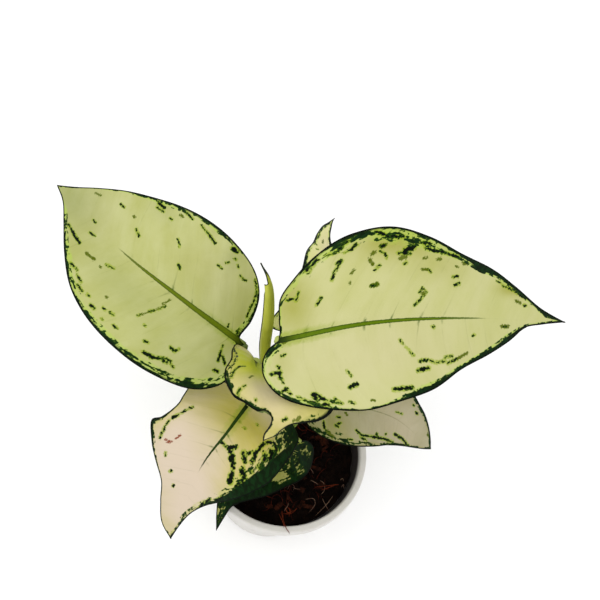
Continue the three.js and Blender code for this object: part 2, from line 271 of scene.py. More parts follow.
stage = {
    "floorSize": 8.0,
    "floorDrop": 0.2,
    "floorColour": (252, 252, 252),
    "floorGrain": (243, 243, 243),
    "skyColour": (255, 255, 255),
    "skyStrength": 0.95,
    "lampAim": (0, 0.02, 0.13),
    "keyPlace": (-0.4, -0.4, 1.15),
    "keySize": 0.9,
    "keyPower": 4.6,
    "fillPlace": (0.9, -0.5, 0.8),
    "fillSize": 1.2,
    "fillPower": 1.8,
    "cameraPlace": (-0.017, -0.145, 0.420),
    "cameraDown": 56.0,
    "cameraRoll": 18.5,
    "lens": 42.0,
    "sensor": 36.0,
    "nearest": 0.01,
}


def buildStage(s):
    floor = Sheet("floorPaper")
    grain = floor.noise(floor.place(), 3.0, scale=0.02)
    paper = floor.finish(floor.blend(grain * 0.06, s["floorColour"], s["floorGrain"]), 0.9)
    size = s["floorSize"] / mm
    mesh = gridMesh("floor", 2, 2, lambda row, column: np.stack(
        [(row - 0.5) * size, column * 0.5 * size, 0 * row - s["floorDrop"]], -1))
    ground = addObject("floor", mesh, [paper])

    world = bpy.data.worlds.new("studio")
    bpy.context.scene.world = world
    world.use_nodes = True
    sky = world.node_tree.nodes["Background"]
    sky.inputs[0].default_value = tint(*s["skyColour"])
    sky.inputs[1].default_value = s["skyStrength"]

    for label in ("key", "fill"):
        light = bpy.data.lights.new(label, "AREA")
        light.size = s[label + "Size"]
        light.energy = s[label + "Power"]
        lamp = bpy.data.objects.new(label, light)
        bpy.context.collection.objects.link(lamp)
        lamp.location = s[label + "Place"]
        aim = Vector(s["lampAim"]) - lamp.location
        lamp.rotation_euler = aim.to_track_quat("-Z", "Y").to_euler()

    lensData = bpy.data.cameras.new("camera")
    lensData.lens = s["lens"]
    lensData.sensor_width = s["sensor"]
    lensData.clip_start = s["nearest"]
    camera = bpy.data.objects.new("camera", lensData)
    bpy.context.collection.objects.link(camera)
    turn = Matrix.Rotation(math.radians(90 - s["cameraDown"]), 4, "X")
    roll = Matrix.Rotation(math.radians(s["cameraRoll"]), 4, "Z")
    camera.matrix_world = Matrix.Translation(s["cameraPlace"]) @ turn @ roll
    bpy.context.scene.camera = camera
    bpy.context.scene.view_settings.view_transform = "Standard"
    bpy.context.scene.view_settings.look = "None"
    print("stage ready")


buildStage(stage)


# Pot

pot = {
    "height": 68.0,
    "rimRadius": 45.0,
    "lipWidth": 3.3,
    "lipDepth": 6.0,
    "shoulderRadius": 41.0,
    "innerShoulder": 61.0,  # height at which the inside turns out to the lip
    "baseRadius": 30.0,
    "baseRings": (4.0, 2.5),  # in from the base's edge
    "wall": 1.2,
    "floor": 1.6,
    "holes": 6,
    "holeRadius": 3.2,
    "holeCircle": 18.0,
    "holeSides": 40,
    "turns": 160,
    "round": 0.6,
    "arcSteps": 5,
    "ringPitch": 0.9,
    "colour": (206, 203, 197),
    "scuff": (178, 172, 163),
    "speck": (120, 104, 88),
    # painted shade for the inside of the wall
    "innerShade": (22, 12, 8),
    "innerShadeTop": 67.0,
}


def potMaterial(p):
    s = Sheet("potPlastic")
    point = s.place()
    x, y, z = s.parts(point)
    streak = s.noise((x * 0.25, y * 0.25, z * 0.04), 4.0, 0.6)
    dust = s.noise((x * 0.2, y * 0.2, z * 0.07), 4.0, 0.6).ramp(0.5, 0.8)
    speck = s.noise(point, 3.0, 0.7, 0.9).ramp(0.66, 0.74)
    fine = s.noise(point, 2.0, scale=2.2)
    colour = s.blend(dust * 0.25 + streak * 0.12, p["colour"], p["scuff"])
    colour = s.blend(speck * 0.35, colour, p["speck"])

    # Painted shade: the inside of the wall painted nearly black, nearly up to the rim
    above = z - p["innerShoulder"]
    slope = (p["shoulderRadius"] - p["baseRadius"]) / (p["innerShoulder"] - p["floor"])
    lipFoot = p["shoulderRadius"] - p["wall"]
    lipSlope = (p["rimRadius"] - p["lipWidth"] - lipFoot) / (p["height"] - p["innerShoulder"])
    bore = lipFoot + s.maths("MINIMUM", above * slope, above * lipSlope)
    inside = (bore - (x * x + y * y) ** 0.5).ramp(-0.5, -0.3)
    innerShaded = inside * (z + streak * 1.6).ramp(p["innerShadeTop"] + 0.9, p["innerShadeTop"] + 0.3)
    colour = s.blend(innerShaded, colour, p["innerShade"])

    ridges = s.maths("COSINE", z * (2 * math.pi / p["ringPitch"])) * 0.25
    roughness = 0.34 + dust * 0.2 + streak * 0.08 + innerShaded * 0.4
    return s.finish(colour, roughness, ridges + fine, 0.05, Coat_Weight=0.08)


def roundedProfile(corners, steps):
    # Corners of a turned wall, as (radius, height) and what an arc takes off both sides of the corner
    points = []
    for i, (here, rounding) in enumerate(corners):
        if not rounding:
            points.append(here)
            continue
        before, after = Vector(corners[i - 1][0]), Vector(corners[(i + 1) % len(corners)][0])
        middle = Vector(here)
        start = middle + (before - middle).normalized() * rounding
        end = middle + (after - middle).normalized() * rounding
        for k in range(steps + 1):
            w = k / steps
            points.append(tuple((1 - w) ** 2 * start + 2 * w * (1 - w) * middle + w ** 2 * end))
    return points


def buildPot(p):
    r = p["round"]
    shoulder = p["height"] - p["lipDepth"]
    corners = [
        ((0, 0), 0),
        *(((p["baseRadius"] - inset, 0), 0) for inset in p["baseRings"]),
        ((p["baseRadius"], 0), r * 1.6),
        ((p["shoulderRadius"], shoulder), r),
        ((p["rimRadius"], shoulder), r * 0.9),
        ((p["rimRadius"], p["height"]), r * 1.5),
        ((p["rimRadius"] - p["lipWidth"], p["height"]), r * 1.5),
        ((p["shoulderRadius"] - p["wall"], p["innerShoulder"]), r),
        ((p["baseRadius"] - p["wall"], p["floor"]), r),
        ((0, p["floor"]), 0),
    ]
    bm = bmesh.new()
    made = [bm.verts.new((x * mm, 0, z * mm)) for x, z in roundedProfile(corners, p["arcSteps"])]
    edges = [bm.edges.new(pair) for pair in zip(made, made[1:])]
    bmesh.ops.spin(bm, geom=made + edges, cent=(0, 0, 0), axis=(0, 0, 1), angle=2 * math.pi,
                   steps=p["turns"], use_merge=True)
    bmesh.ops.remove_doubles(bm, verts=bm.verts, dist=weld)
    bmesh.ops.recalc_face_normals(bm, faces=bm.faces)
    piece = addObject("potBody", meshOf(bm, "potBody"), [potMaterial(p)], "pot")

    bm = bmesh.new()
    for i in range(p["holes"]):
        angle = 2 * math.pi * i / p["holes"]
        spot = Vector((math.cos(angle), math.sin(angle), 0)) * p["holeCircle"] * mm
        bmesh.ops.create_cone(bm, cap_ends=True, segments=p["holeSides"], radius1=p["holeRadius"] * mm,
                              radius2=p["holeRadius"] * mm, depth=0.01, matrix=Matrix.Translation(spot))
    cutter = addObject("cutter", meshOf(bm, "cutter"), [])
    cut = piece.modifiers.new("holes", "BOOLEAN")
    cut.object = cutter
    cut.operation = "DIFFERENCE"
    cut.solver = "EXACT"
    applyModifiers(piece)
    bpy.data.objects.remove(cutter)
    sharp = piece.modifiers.new("keepFlats", "WEIGHTED_NORMAL")
    sharp.keep_sharp = True
    applyModifiers(piece)
    print("pot ready")


buildPot(pot)


# Potting mix

mix = {
    "top": 60.0,
    "lump": 1.6,
    "clearance": 0.35,
    "rings": 70,
    "turns": 200,
    "topShare": 0.8,  # of the rings; the others make the side
    "grainHeight": 0.9,
    "crumbs": 520,
    "crumbReach": 35.5,
    "crumbSize": (0.5, 1.7),
    "crumbRough": 0.22,
    "chips": 46,
    "chipReach": 33.0,
    "chipSize": [(2.4, 7), (1.2, 3.4), (0.5, 1.4)],
    "chipRough": 0.45,
    "strands": 90,
    "strandReach": 31.0,
    "strandHalf": (3, 7),  # half the length
    "strandRadius": (0.10, 0.28),
    "strandGrid": (14, 6),
    "hairs": 16,
    "hairReach": 30.0,
    "hairHalf": (3, 6),
    "hairRadius": (0.09, 0.14),
    "seed": 5,
    "soil": [(5, 2, 1), (18, 8, 4), (66, 25, 12)],
    "husk": [(20, 9, 5), (58, 26, 14), (110, 60, 34)],
    "coir": [(34, 12, 8), (74, 28, 16), (128, 62, 36)],
    "root": [(104, 78, 64), (140, 112, 92), (170, 148, 126)],
    "bright": [(70, 26, 14), (120, 50, 26), (170, 90, 52)],
    "seenRadius": 0.13,
    "frayedRadius": 0.22,
    "seen": [  # root hairs on the mix, with heights above its top
        [[27, -18, 1.8], [30, -21.5, 2.2], [33, -24, 1.6]],
        [[32.5, -14.5, 1.6], [30, -21, 2.6], [26, -28, 1.4]],
        [[18.5, -21.5, 1.4], [22.5, -20, 2.4], [24.2, -22.3, 2.6], [23.4, -25.4, 2.2], [22.3, -27.4, 1.2]],
        [[10.7, -17.4, 1.6], [12.5, -17.9, 2.2], [15, -17, 1.4]],
        [[9.7, -31, 1.4], [10.6, -28.5, 2.2], [11, -26, 1.4]],
        [[35.5, -8.9, 1.2], [36.3, -7.5, 2.4], [37, -9.2, 1.2]],
        [[34, -5.4, 1.3], [35, -4.4, 2.3], [36, -5.4, 1.2]],
    ],
    "frayed": [
        [[9.5, -29, 1.5], [11.9, -31.3, 2.4], [14.5, -28.9, 1.6]],
        [[8.6, -31, 1.3], [9.7, -33.6, 2.6], [10.5, -35.5, 1.4]],
        [[10.5, -28, 1.2], [12.6, -30, 2.6], [13, -33, 1.2]],
        [[16, -27, 1.2], [13.5, -31, 2], [9, -32.4, 1.2]],
        [[8, -31.5, 1.6], [9.5, -35, 5], [10.9, -38.7, 8.2], [12.5, -40.9, 8.7],
         [14.3, -42.2, 8.4], [15.3, -42.8, 7]],
        [[7.4, -33, 2], [9.2, -36.6, 6.4], [10.9, -39.6, 8.6], [11.4, -41.4, 8.7]],
        [[21.4, -13.8, 1.4], [27.9, -11, 2.2], [34.4, -7.7, 1.4]],
        [[25.4, -14.1, 1.4], [28.7, -11.9, 2.2], [31.9, -9.1, 1.4]],
    ],
}


def mixRadius(z):
    share = (z - pot["floor"]) / (pot["innerShoulder"] - pot["floor"])
    return pot["baseRadius"] + (pot["shoulderRadius"] - pot["baseRadius"]) * share - pot["wall"] - mix["clearance"]


def mixHeight(x, y):
    rough = (np.sin(0.31 * x + 1.1) * np.cos(0.27 * y - 0.4) + 0.7 * np.sin(0.53 * y + 0.21 * x)
             + 0.5 * np.cos(0.61 * x - 0.47 * y))
    edge = np.hypot(x, y) / mixRadius(mix["top"])
    return mix["top"] + mix["lump"] * 0.6 * rough - 2 * edge ** 4


def mixMaterial(name, dark, brown, light):
    s = Sheet(name)
    point = s.place()
    coarse = s.noise(point, 4.0, 0.65, 0.22)
    fine = s.noise(point, 4.0, 0.7, 1.4)
    colour = s.blend(coarse.ramp(0.35, 0.7), dark, brown)
    colour = s.blend(fine.ramp(0.6, 0.78) * 0.6, colour, light)
    return s.finish(colour, 0.82 + fine * 0.15, fine + coarse * 0.6, 0.5, Specular_IOR_Level=0.05)


def strandMesh(name, lines):
    def strand(points, radius):
        return tubeMesh("strand", Path(points), *mix["strandGrid"],
                        lambda row, angle: radius * (1 - 0.6 * np.abs(2 * row - 1) ** 3), (0, 0, 1))
    return joinedMesh(name, [strand(points, radius) for points, radius in lines])


def buildMix(m):
    rng = random.Random(m["seed"])
    noise.seed_set(m["seed"])  # else noise_vector is another one in each run
    outer = mixRadius(m["top"] - 3)
    bottom = pot["floor"] + m["clearance"]
    share = m["topShare"]

    def addMix(name, mesh, material):
        addObject(name, mesh, [material], "potting_mix")

    def shaped(row, column):
        angle = math.pi * column
        drop = np.clip((row - share) / (1 - share), 0, 1)
        radius = np.where(row < share, outer * row / share, outer + (mixRadius(bottom) - outer) * drop)
        x, y = radius * np.cos(angle), radius * np.sin(angle)
        grain = np.array([noise.fractal(Vector((a * 0.42, b * 0.42, 3.0)), 0.8, 2.1, 5) for a, b in zip(x, y)])
        z = mixHeight(x, y) + m["grainHeight"] * grain * np.clip((outer - radius) / 2, 0, 1)
        z = np.where(row < share, z, z + (bottom - z) * drop)
        return np.stack([x, y, z], -1)

    mesh = gridMesh("mixBody", m["rings"], m["turns"], shaped)
    bm = bmesh.new()
    bm.from_mesh(mesh)
    bmesh.ops.holes_fill(bm, edges=[edge for edge in bm.edges if edge.is_boundary], sides=0)
    bmesh.ops.recalc_face_normals(bm, faces=bm.faces)
    soil = mixMaterial("pottingMix", *m["soil"])
    addMix("mixBody", meshOf(bm, "mixBody"), soil)

    def scattered(reach, lift):
        radius, angle = reach * math.sqrt(rng.random()), 2 * math.pi * rng.random()
        x, y = radius * math.cos(angle), radius * math.sin(angle)
        return Vector((x, y, float(mixHeight(x, y)) + lift))

    bm = bmesh.new()
    for _ in range(m["crumbs"]):
        size = rng.uniform(*m["crumbSize"])
        where = Matrix.Translation(scattered(m["crumbReach"], -0.2 * size) * mm)
        turned = Matrix.Rotation(rng.uniform(0, 6.28), 4, (rng.random(), rng.random(), rng.random() + 0.1))
        stretch = Matrix.Diagonal((size * mm, size * rng.uniform(0.6, 1) * mm,
                                   size * rng.uniform(0.5, 0.9) * mm, 1))
        made = bmesh.ops.create_icosphere(bm, subdivisions=2, radius=1.0, matrix=where @ turned @ stretch)
        for vertex in made["verts"]:
            vertex.co += noise.noise_vector(vertex.co / mm * 0.9) * m["crumbRough"] * size * mm
    addMix("mixCrumbs", meshOf(bm, "mixCrumbs"), soil)

    bm = bmesh.new()
    for _ in range(m["chips"]):
        where = Matrix.Translation(scattered(m["chipReach"], 0.5) * mm)
        turned = Matrix.Rotation(rng.uniform(0, 6.28), 4, "Z") @ Matrix.Rotation(rng.uniform(-0.5, 0.5), 4, "X")
        stretch = Matrix.Diagonal((*(rng.uniform(*span) * mm for span in m["chipSize"]), 1))
        chip = bmesh.ops.create_cube(bm, size=1.0, matrix=where @ turned @ stretch)["verts"]
        edges = list(dict.fromkeys(edge for vertex in chip for edge in vertex.link_edges))
        bmesh.ops.subdivide_edges(bm, edges=edges, cuts=2, use_grid_fill=True)
    for vertex in bm.verts:
        vertex.co += noise.noise_vector(vertex.co / mm * 0.6) * m["chipRough"] * mm
    addMix("mixChips", meshOf(bm, "mixChips"), mixMaterial("coirHusk", *m["husk"]))

    def strandLine(reach, half, lift, loops):
        middle = scattered(reach, lift)
        heading, turn = rng.uniform(0, 2 * math.pi), rng.uniform(-loops, loops)
        points = []
        for share in (-1, -0.5, 0, 0.5, 1):
            x = middle.x + half * share * math.cos(heading + turn * share)
            y = middle.y + half * share * math.sin(heading + turn * share)
            points.append((x, y, float(mixHeight(x, y)) + lift - 1.2 * share ** 4 + rng.uniform(-0.1, 0.3)))
        return points

    def raised(lines, radius):
        return [([(x, y, m["top"] + z) for x, y, z in points], radius) for points in lines]

    coir = [(strandLine(m["strandReach"], rng.uniform(*m["strandHalf"]), 0.6, 0.9),
             rng.uniform(*m["strandRadius"])) for _ in range(m["strands"])]
    addMix("mixStrands", strandMesh("mixStrands", coir), mixMaterial("coirFibre", *m["coir"]))
    hairs = [(strandLine(m["hairReach"], rng.uniform(*m["hairHalf"]), 1.0, 1.6),
              rng.uniform(*m["hairRadius"])) for _ in range(m["hairs"])]
    hairs += raised(m["seen"], m["seenRadius"])
    addMix("mixRoots", strandMesh("mixRoots", hairs), mixMaterial("rootHair", *m["root"]))
    frayed = raised(m["frayed"], m["frayedRadius"])
    addMix("mixFrayed", strandMesh("mixFrayed", frayed), mixMaterial("brightFibre", *m["bright"]))
    print("potting mix ready")


buildMix(mix)


# Leaf blades

blade = {  # what the leaves share, and what one has where its own table says nothing else
    "thickness": 0.5,
    "fullReach": 30.0,  # out from the midrib, where droop and waves reach their full height
    "bow": 1.3,  # how the rows bend from the midrib to the margin
    "quilt": 0.1,
    "ribSink": 0.3,
    "ribRise": 0.1,
    "pen": 0.42,  # times the half width of a dash or smear
    "lumps": 1.6,  # how ragged dashes are
    "collar": 0.0,  # how dark the stalk is just below the blade
    "oliveTintAndShade": (146, 146, 46),  # where olive is: an olive tint, and painted shade at leaf_left's tip and leaf_low_left's base
    "flush": (204, 188, 166),  # where blush is
    "veins": (92, 104, 40),
    "fringe": (164, 192, 70),
    "halo": (138, 156, 28),
    "smear": (80, 94, 0),
    "darkEdge": (2, 9, 1),
    "dark": (6, 24, 2),
    "darkBlue": (10, 40, 9),
    "darkSoft": (50, 84, 4),
    "underside": (124, 138, 78),
}

# mid is the midrib in the part's frame, and side the way out to the right half from base to tip.
# The other places are in millimetres on the flat blade: along the midrib from the stalk, and out
# from it, less than 0 on the left half. left and right are the margins, with out above 0 in both.
# fold is how far both halves rise, in degrees at the base and the tip, and droop how far the left
# and the right half bend down. waves are (half, along, reach, lift), with 1 for the right half.
# veinPitch is the distance from one side vein to the next; they lean and bend forward, each given
# for the left and the right half.
# midrib has its half width at the base, the place where that has run out, and the half width of the
# line that goes on.
# rim is the green border, as (share of the margin from base to tip, solid width, speckled width).
# clouds are (along, out, reach along, reach out, strength) areas of green speckle; olive and blush
# are the same for the tint of the cream. The olive clouds at leaf_left's tip and leaf_low_left's base
# are painted shade.
# dashes are dark strokes and smears olive ones, as (along, out, along, out, half width).

leaves = {
    "leaf_right": {
        "slot": "leaf",
        "rows": 290, "columns": 144,
        "mid": [[-20, -6, 182], [12, 9, 192], [50, 29, 188], [101, 57, 172]],
        "side": [[0.42, -0.8, -0.42], [0.45, -0.78, -0.42]],
        "left": [[0, 0], [1.2, 3.5], [1.8, 8], [4, 16], [11, 22.6], [21, 29.8], [34, 36], [50, 38], [66, 33.8],
                 [81, 27.3], [97, 22], [110, 14.4], [124, 5.9], [140, 0]],
        "right": [[0, 0], [-5, 3], [-8, 8], [-8, 14], [-4, 21], [4, 26.5], [16, 31], [30, 33.5], [44, 32],
                  [60, 28.4], [75, 21.2], [90, 15.6], [103, 9.6], [113, 3.6], [126, 1.4], [140, 0]],
        "fold": [8, 3], "droop": [2, 2],
        "waves": [(1, 62, 16, 2), (0, 96, 14, -2)],
        "stalk": [[-13, 11, 102], [-14, 13, 128], [-16, 8, 158], [-20, -6, 182]],
        "veinPitch": 12.0, "veinLean": (0.6, -0.25), "veinBend": (0.003, 0.013),
        "midrib": {"base": 1.05, "end": 92.0, "line": 0.1, "colour": (86, 110, 2), "edge": (48, 70, 4)},
        "cream": (190, 189, 134), "deep": (180, 181, 116),
        "rimLeft": [(0, 0.7, 1.5), (0.2, 0.7, 1.5), (0.31, 0.9, 5), (0.41, 1.1, 5), (0.46, 1.7, 4),
                    (0.54, 1.3, 9), (0.62, 1.5, 8.5), (0.7, 1.9, 4), (0.74, 4.4, 5), (0.79, 2.8, 3.4),
                    (0.88, 1.7, 2), (0.95, 2.5, 3), (1, 3, 3)],
        "rimRight": [(0, 0.9, 4.5), (0.1, 0.8, 4.5), (0.2, 0.7, 2.4), (0.3, 0.8, 3), (0.38, 1.2, 2.8),
                     (0.46, 0.7, 1.2), (0.52, 0.8, 1.6), (0.58, 2.8, 4.2), (0.64, 1.9, 2.7), (0.68, 1.6, 2),
                     (0.72, 2.2, 2.8), (0.76, 2.3, 3.2), (0.8, 3, 3.6), (0.86, 1.2, 1.4), (0.94, 0.9, 1),
                     (1, 1.8, 2)],
        "clouds": [(32, -33, 7, 3, 0.25), (50, -31, 9, 5, 0.3), (-3, 4, 3, 5, 0.35), (91, -22, 5, 2.5, 0.7)],
        "olive": [(8, -14, 9, 12, 0.8), (50, -32, 16, 7, 0.9), (70, -22, 14, 7, 0.35), (108, -13, 9, 3, 0.9),
                  (0, 8, 4, 8, 0.4)],
        "blush": [(40, 12, 40, 14, 0.2)],
        "dashes": [
            (10, -14, 12, -17, 0.7), (6.5, -15, 9, -15, 0.8), (17.5, -10.5, 20, -13, 0.7),
            (25, -19, 26.5, -22, 0.8), (27, -22.5, 29.5, -26, 0.8), (28, -25, 29.5, -26, 1.0),
            (29, -30, 31, -32, 1.2), (31, -32, 33, -33.5, 1.0), (33, -29.5, 35.5, -31.5, 1.1),
            (24.5, -29, 26.5, -29.5, 0.5), (27, -29, 28, -29.5, 0.6), (31, -29, 31.5, -29, 0.6),
            (34, -33.5, 34.5, -34, 0.6), (41, -20.5, 43, -22.5, 0.7), (39, -14.5, 41.5, -15, 0.9),
            (16, -24.5, 21.5, -28, 1.0), (17, -23.5, 20, -26.5, 0.5), (43.5, -36, 48, -34, 1.5),
            (48, -34, 54, -33.5, 1.5), (54, -28, 58, -29.5, 2.3), (51, -27, 56, -26.5, 1.2),
            (53, -22.5, 54, -23, 0.9), (61.5, -31, 65.5, -31, 1.0), (63, -29, 67, -28, 1.2),
            (67, -28, 73, -27, 1.3), (73, -27, 79.5, -25.5, 1.3), (44.5, -30, 46, -30.5, 1.1),
            (44, -28, 45.5, -27, 0.8), (46, -26.5, 46, -25, 0.6), (63.5, -20, 64.5, -19, 0.8),
            (75, -17, 77.5, -17.5, 0.9), (75.5, -13.5, 78, -14.5, 1.0), (58.5, -10.5, 60, -12.5, 0.5),
            (60, -12.5, 62, -11, 0.5), (62, -11, 59, -8, 0.6), (56, -5.5, 59, -8, 0.7),
            (99, -16.5, 101.5, -15.5, 0.5), (102, -14.5, 106, -13.5, 0.7), (106, -13.5, 115, -9.5, 0.8),
            (113.5, -6.5, 115, -6.5, 0.9), (100.5, 3.5, 102, 3.3, 0.6), (83, 7.5, 84, 7, 0.6),
            (0, 6.5, 1.5, 6, 0.7), (-2, 10, -1.5, 11, 0.8), (-5, 12.5, -1.5, 12.5, 1.3),
            (-1.5, 12.5, -2, 14.5, 1.2), (-1.5, 14, -1, 17, 0.4), (-2, 20, 0, 19, 0.7), (-1, 19, 1, 21.5, 0.8),
            (3, 23, 9.5, 27.5, 0.6), (9, 23.5, 10.5, 26, 1.5), (10, 23.5, 14, 27, 1.2),
            (12.5, 28, 14, 28.5, 1.2), (15.5, 27.5, 19.5, 29, 0.8), (17, 26.5, 18, 27.5, 0.6),
            (22.5, 29, 24.5, 30, 0.5), (24, 17, 25.5, 19.5, 0.6), (24, 23.5, 27, 23, 1.6),
            (48, 8, 49, 9.5, 0.7), (50, 11, 51.5, 12.5, 0.35), (51.5, 13, 53, 14.5, 0.7),
            (55, 17, 59, 16.5, 0.9), (59, 16.5, 62.5, 18, 0.9), (62.5, 18, 67, 17.5, 0.9),
            (67, 16, 71, 15.5, 0.8), (68, 18.5, 73, 17, 0.9), (54, 20.5, 59, 20, 1.5),
            (42.5, 27, 50.5, 27, 1.6), (63.5, 3.5, 64, 3.5, 1.1),
        ],
        "smears": [
            (32, -20, 33.5, -22, 0.6), (31, -16.5, 31.2, -17, 0.7), (40.5, -27, 42, -28, 1.2),
            (39.5, -25, 40.5, -23, 1.4), (51.5, -24.5, 54, -25.5, 1.4), (81, -23, 83.5, -23.5, 1.5),
            (77, -21.5, 78, -21.5, 0.8), (62, -24.5, 63.5, -25, 1.1), (68, -24, 70, -24.5, 1.1),
            (61, -20, 63.5, -20, 1.1), (60, -10.5, 60.5, -10, 1.8), (109, -8, 112, -7.5, 1.2),
            (99.5, 3.5, 103.5, 3, 1.4), (1.5, 1.5, 3, 1, 0.8), (32, 30, 33.5, 30, 0.6), (73, 17, 79, 14.5, 0.9),
            (39, -14.5, 41.5, -15, 1.5), (44.5, -30, 46, -30.5, 1.8),
        ],
    },
    "leaf_left": {
        "slot": "leaf",
        "rows": 280, "columns": 138,
        "mid": [[-35, 13, 136], [-67, 14, 156], [-101, 26, 160], [-146, 57, 148]],
        "side": [[0.36, 0.81, 0.4], [0.3, 0.86, 0.38]],
        "left": [[0, 0], [-4, 9], [-3, 18], [2, 25.4], [11, 30.8], [24, 33.6], [40, 34.7], [58, 32.6],
                 [76, 27.4], [93, 18.8], [108, 9.8], [119, 3.6], [131, 0]],
        "right": [[0, 0], [4.2, 2], [4.8, 11], [9, 21.4], [17, 28.8], [28, 33], [42, 35], [57, 34], [74, 30],
                  [91, 23], [107, 14], [120, 6], [131, 0]],
        "fold": [8, 3], "droop": [1.5, 1.5],
        "waves": [(0, 52, 15, 2), (1, 80, 16, -2)],
        "stalk": [[-19, 9, 100], [-28, 8, 114], [-34, 9, 126], [-35, 13, 136]],
        "veinPitch": 11.0, "veinLean": (0.35, 0.75), "veinBend": (0.004, -0.003),
        "midrib": {"base": 1.6, "end": 76.0, "line": 0.0, "colour": (94, 110, 12), "edge": (60, 76, 16)},
        "collar": 1.0, "oliveTintAndShade": (140, 146, 92), "cream": (184, 186, 127), "deep": (168, 171, 98),
        "rimLeft": [(0, 1.3, 5), (0.1, 1.3, 7.5), (0.2, 1.3, 8), (0.3, 1.5, 6.5), (0.38, 1.6, 5),
                    (0.46, 1.6, 5), (0.54, 1.8, 4.6), (0.6, 1.6, 3.6), (0.68, 1.1, 4.2), (0.78, 1, 4.4),
                    (0.86, 0.8, 3), (0.93, 0.4, 0.8), (1, 0.6, 0.8)],
        "rimRight": [(0, 1.6, 4), (0.12, 1.6, 4.4), (0.22, 1.2, 3.6), (0.3, 0.8, 2.4), (0.36, 0.5, 0.7),
                     (0.43, 1, 1.6), (0.5, 1.8, 2.9), (0.58, 1.4, 2.6), (0.64, 1.2, 3.4), (0.7, 1.1, 2.8),
                     (0.78, 0.8, 1.2), (0.88, 0.5, 0.7), (1, 0.8, 1)],
        "clouds": [(12, -28, 10, 4, 0.35), (30, -29, 7, 3, 0.25)],
        # the first olive cloud is painted shade: it darkens the tip, which the light from the left brightens
        "olive": [(116, 0, 24, 14, 0.7), (60, -12, 26, 10, 0.35), (24, -24, 14, 8, 0.15), (70, 26, 10, 5, 0.3),
                  (6, -14, 5, 7, 0.3), (30, 28, 5, 5, 0.4)],
        "blush": [(35, 18, 20, 14, 0.1), (100, 3, 20, 12, 0.1)],
        "dashes": [
            (91, 15, 88, 15, 0.8), (74.5, 11.5, 70.5, 10, 0.7), (96.5, 1, 94, 1, 0.5), (76, 27, 71.5, 27, 1.4),
            (75, 25, 70, 25.5, 0.7), (65, 25, 63.5, 25, 0.6), (61, 31.5, 55.5, 31, 0.8),
            (50.5, 31, 46, 30, 0.5), (46, 30, 41, 28.5, 1.0), (55, 20, 52, 17.5, 0.5), (47.5, 11, 46, 10, 0.9),
            (33.5, 31.5, 31, 31.5, 1.9), (30, 28.5, 29, 28.5, 0.7), (32, 24.5, 31, 25.5, 0.6),
            (34, 21.5, 32, 21.5, 0.8), (27, 27, 26, 26.5, 0.6), (23, 24, 21, 23.5, 0.6),
            (21, 23.5, 19.5, 24, 0.6), (16.5, 27, 12.5, 23.5, 0.6), (12.5, 23.5, 9.5, 17, 0.6),
            (10, 16.5, 8, 11, 0.6), (92, -4, 88, -3.5, 0.6), (72.5, -9, 68.5, -8, 0.7),
            (105, -8.5, 99.5, -9.5, 0.8), (99.5, -9.5, 91, -10.5, 1.3), (86.5, -19.5, 80.5, -19.5, 0.8),
            (79, -21, 75, -22, 0.8), (75.5, -24, 71.5, -24.5, 0.8), (69, -24, 67.5, -24, 0.7),
            (64.5, -26.5, 62.5, -26.5, 1.2), (60, -24, 58.5, -24, 0.6), (56.5, -23.5, 55, -23.5, 0.9),
            (57.5, -28, 57, -28, 0.7), (52.5, -27, 50.5, -27, 0.7), (47.5, -17.5, 47, -16.5, 0.5),
            (45, -13, 43.5, -11.5, 0.9), (42.5, -10, 41, -7, 0.4), (43, -19, 42.5, -19, 0.7),
            (39, -24.5, 37.5, -24, 0.9), (36.5, -28.5, 31.5, -27.5, 1.4), (29, -20, 26.5, -20.5, 1.1),
            (26.5, -20.5, 25.5, -18.5, 1.0), (33, -28.5, 28.5, -25.5, 1.2), (29, -26.5, 26.5, -26.5, 1.0),
            (27.5, -25, 25, -25, 0.8), (24.5, -26, 22.5, -26.5, 0.8), (9, -6, 8, -9, 0.6),
            (8, -9, 6.5, -13, 1.3), (5.5, -17.5, 3.5, -17, 1.5), (6, -10, 2.5, -12.5, 1.1),
            (6.5, 2, 7, 4.4, 0.7), (12, 2, 12.8, 3.4, 0.4), (4.5, 4, 4.5, 7, 0.9),
        ],
        "smears": [
            (107.5, 10.5, 103.5, 11.5, 0.7), (80.5, 15, 79.5, 15, 1.0), (84.5, -11.5, 78.5, -11, 1.1),
            (74, -11.5, 73.5, -11.5, 0.9), (62, -19.5, 61.5, -19.5, 1.1), (42.5, -7, 41, -3.5, 0.6),
            (47.5, -17.5, 41, -7, 0.5), (62, 29, 60, 29, 1.0),
        ],
    },
    "leaf_front": {
        "slot": "leaf",
        "rows": 200, "columns": 112,
        "mid": [[-27, 3, 143], [-25, -8, 157], [-19, -22, 168], [-11.5, -30, 165], [-13, -32, 144]],
        "side": [[-0.9, 0.2, 0.35], [-0.98, -0.05, 0.12], [-0.98, -0.1, 0]],
        "left": [[0, 0], [-5.5, 5], [-3, 16], [4, 24], [12, 30], [23, 33], [34, 32], [43, 29], [48, 24],
                 [50, 17], [50.5, 11], [52, 6], [57, 4], [63, 3.5], [71, 0]],
        "right": [[0, 0], [-7, 2], [-11, 6.5], [-8, 11], [4, 12], [16, 11.5], [25, 14], [32, 14.5], [37, 13],
                  [39.5, 9.5], [43, 6], [44.5, 3], [49, 1.6], [57, 1.2], [65, 1.2], [71, 0]],
        "fold": [4, -4], "droop": [6, 14],
        "waves": [(1, 38, 8, 3)],
        "stalk": [[-16, 6, 94], [-21, 8, 108], [-26, 9, 126], [-27, 3, 143]],
        "veinPitch": 8.0, "veinLean": (0.4, 0.4), "veinBend": (0.004, 0.004),
        "midrib": {"base": 0.9, "end": 16.0, "line": 0.0, "colour": (126, 136, 24), "edge": (104, 114, 24)},
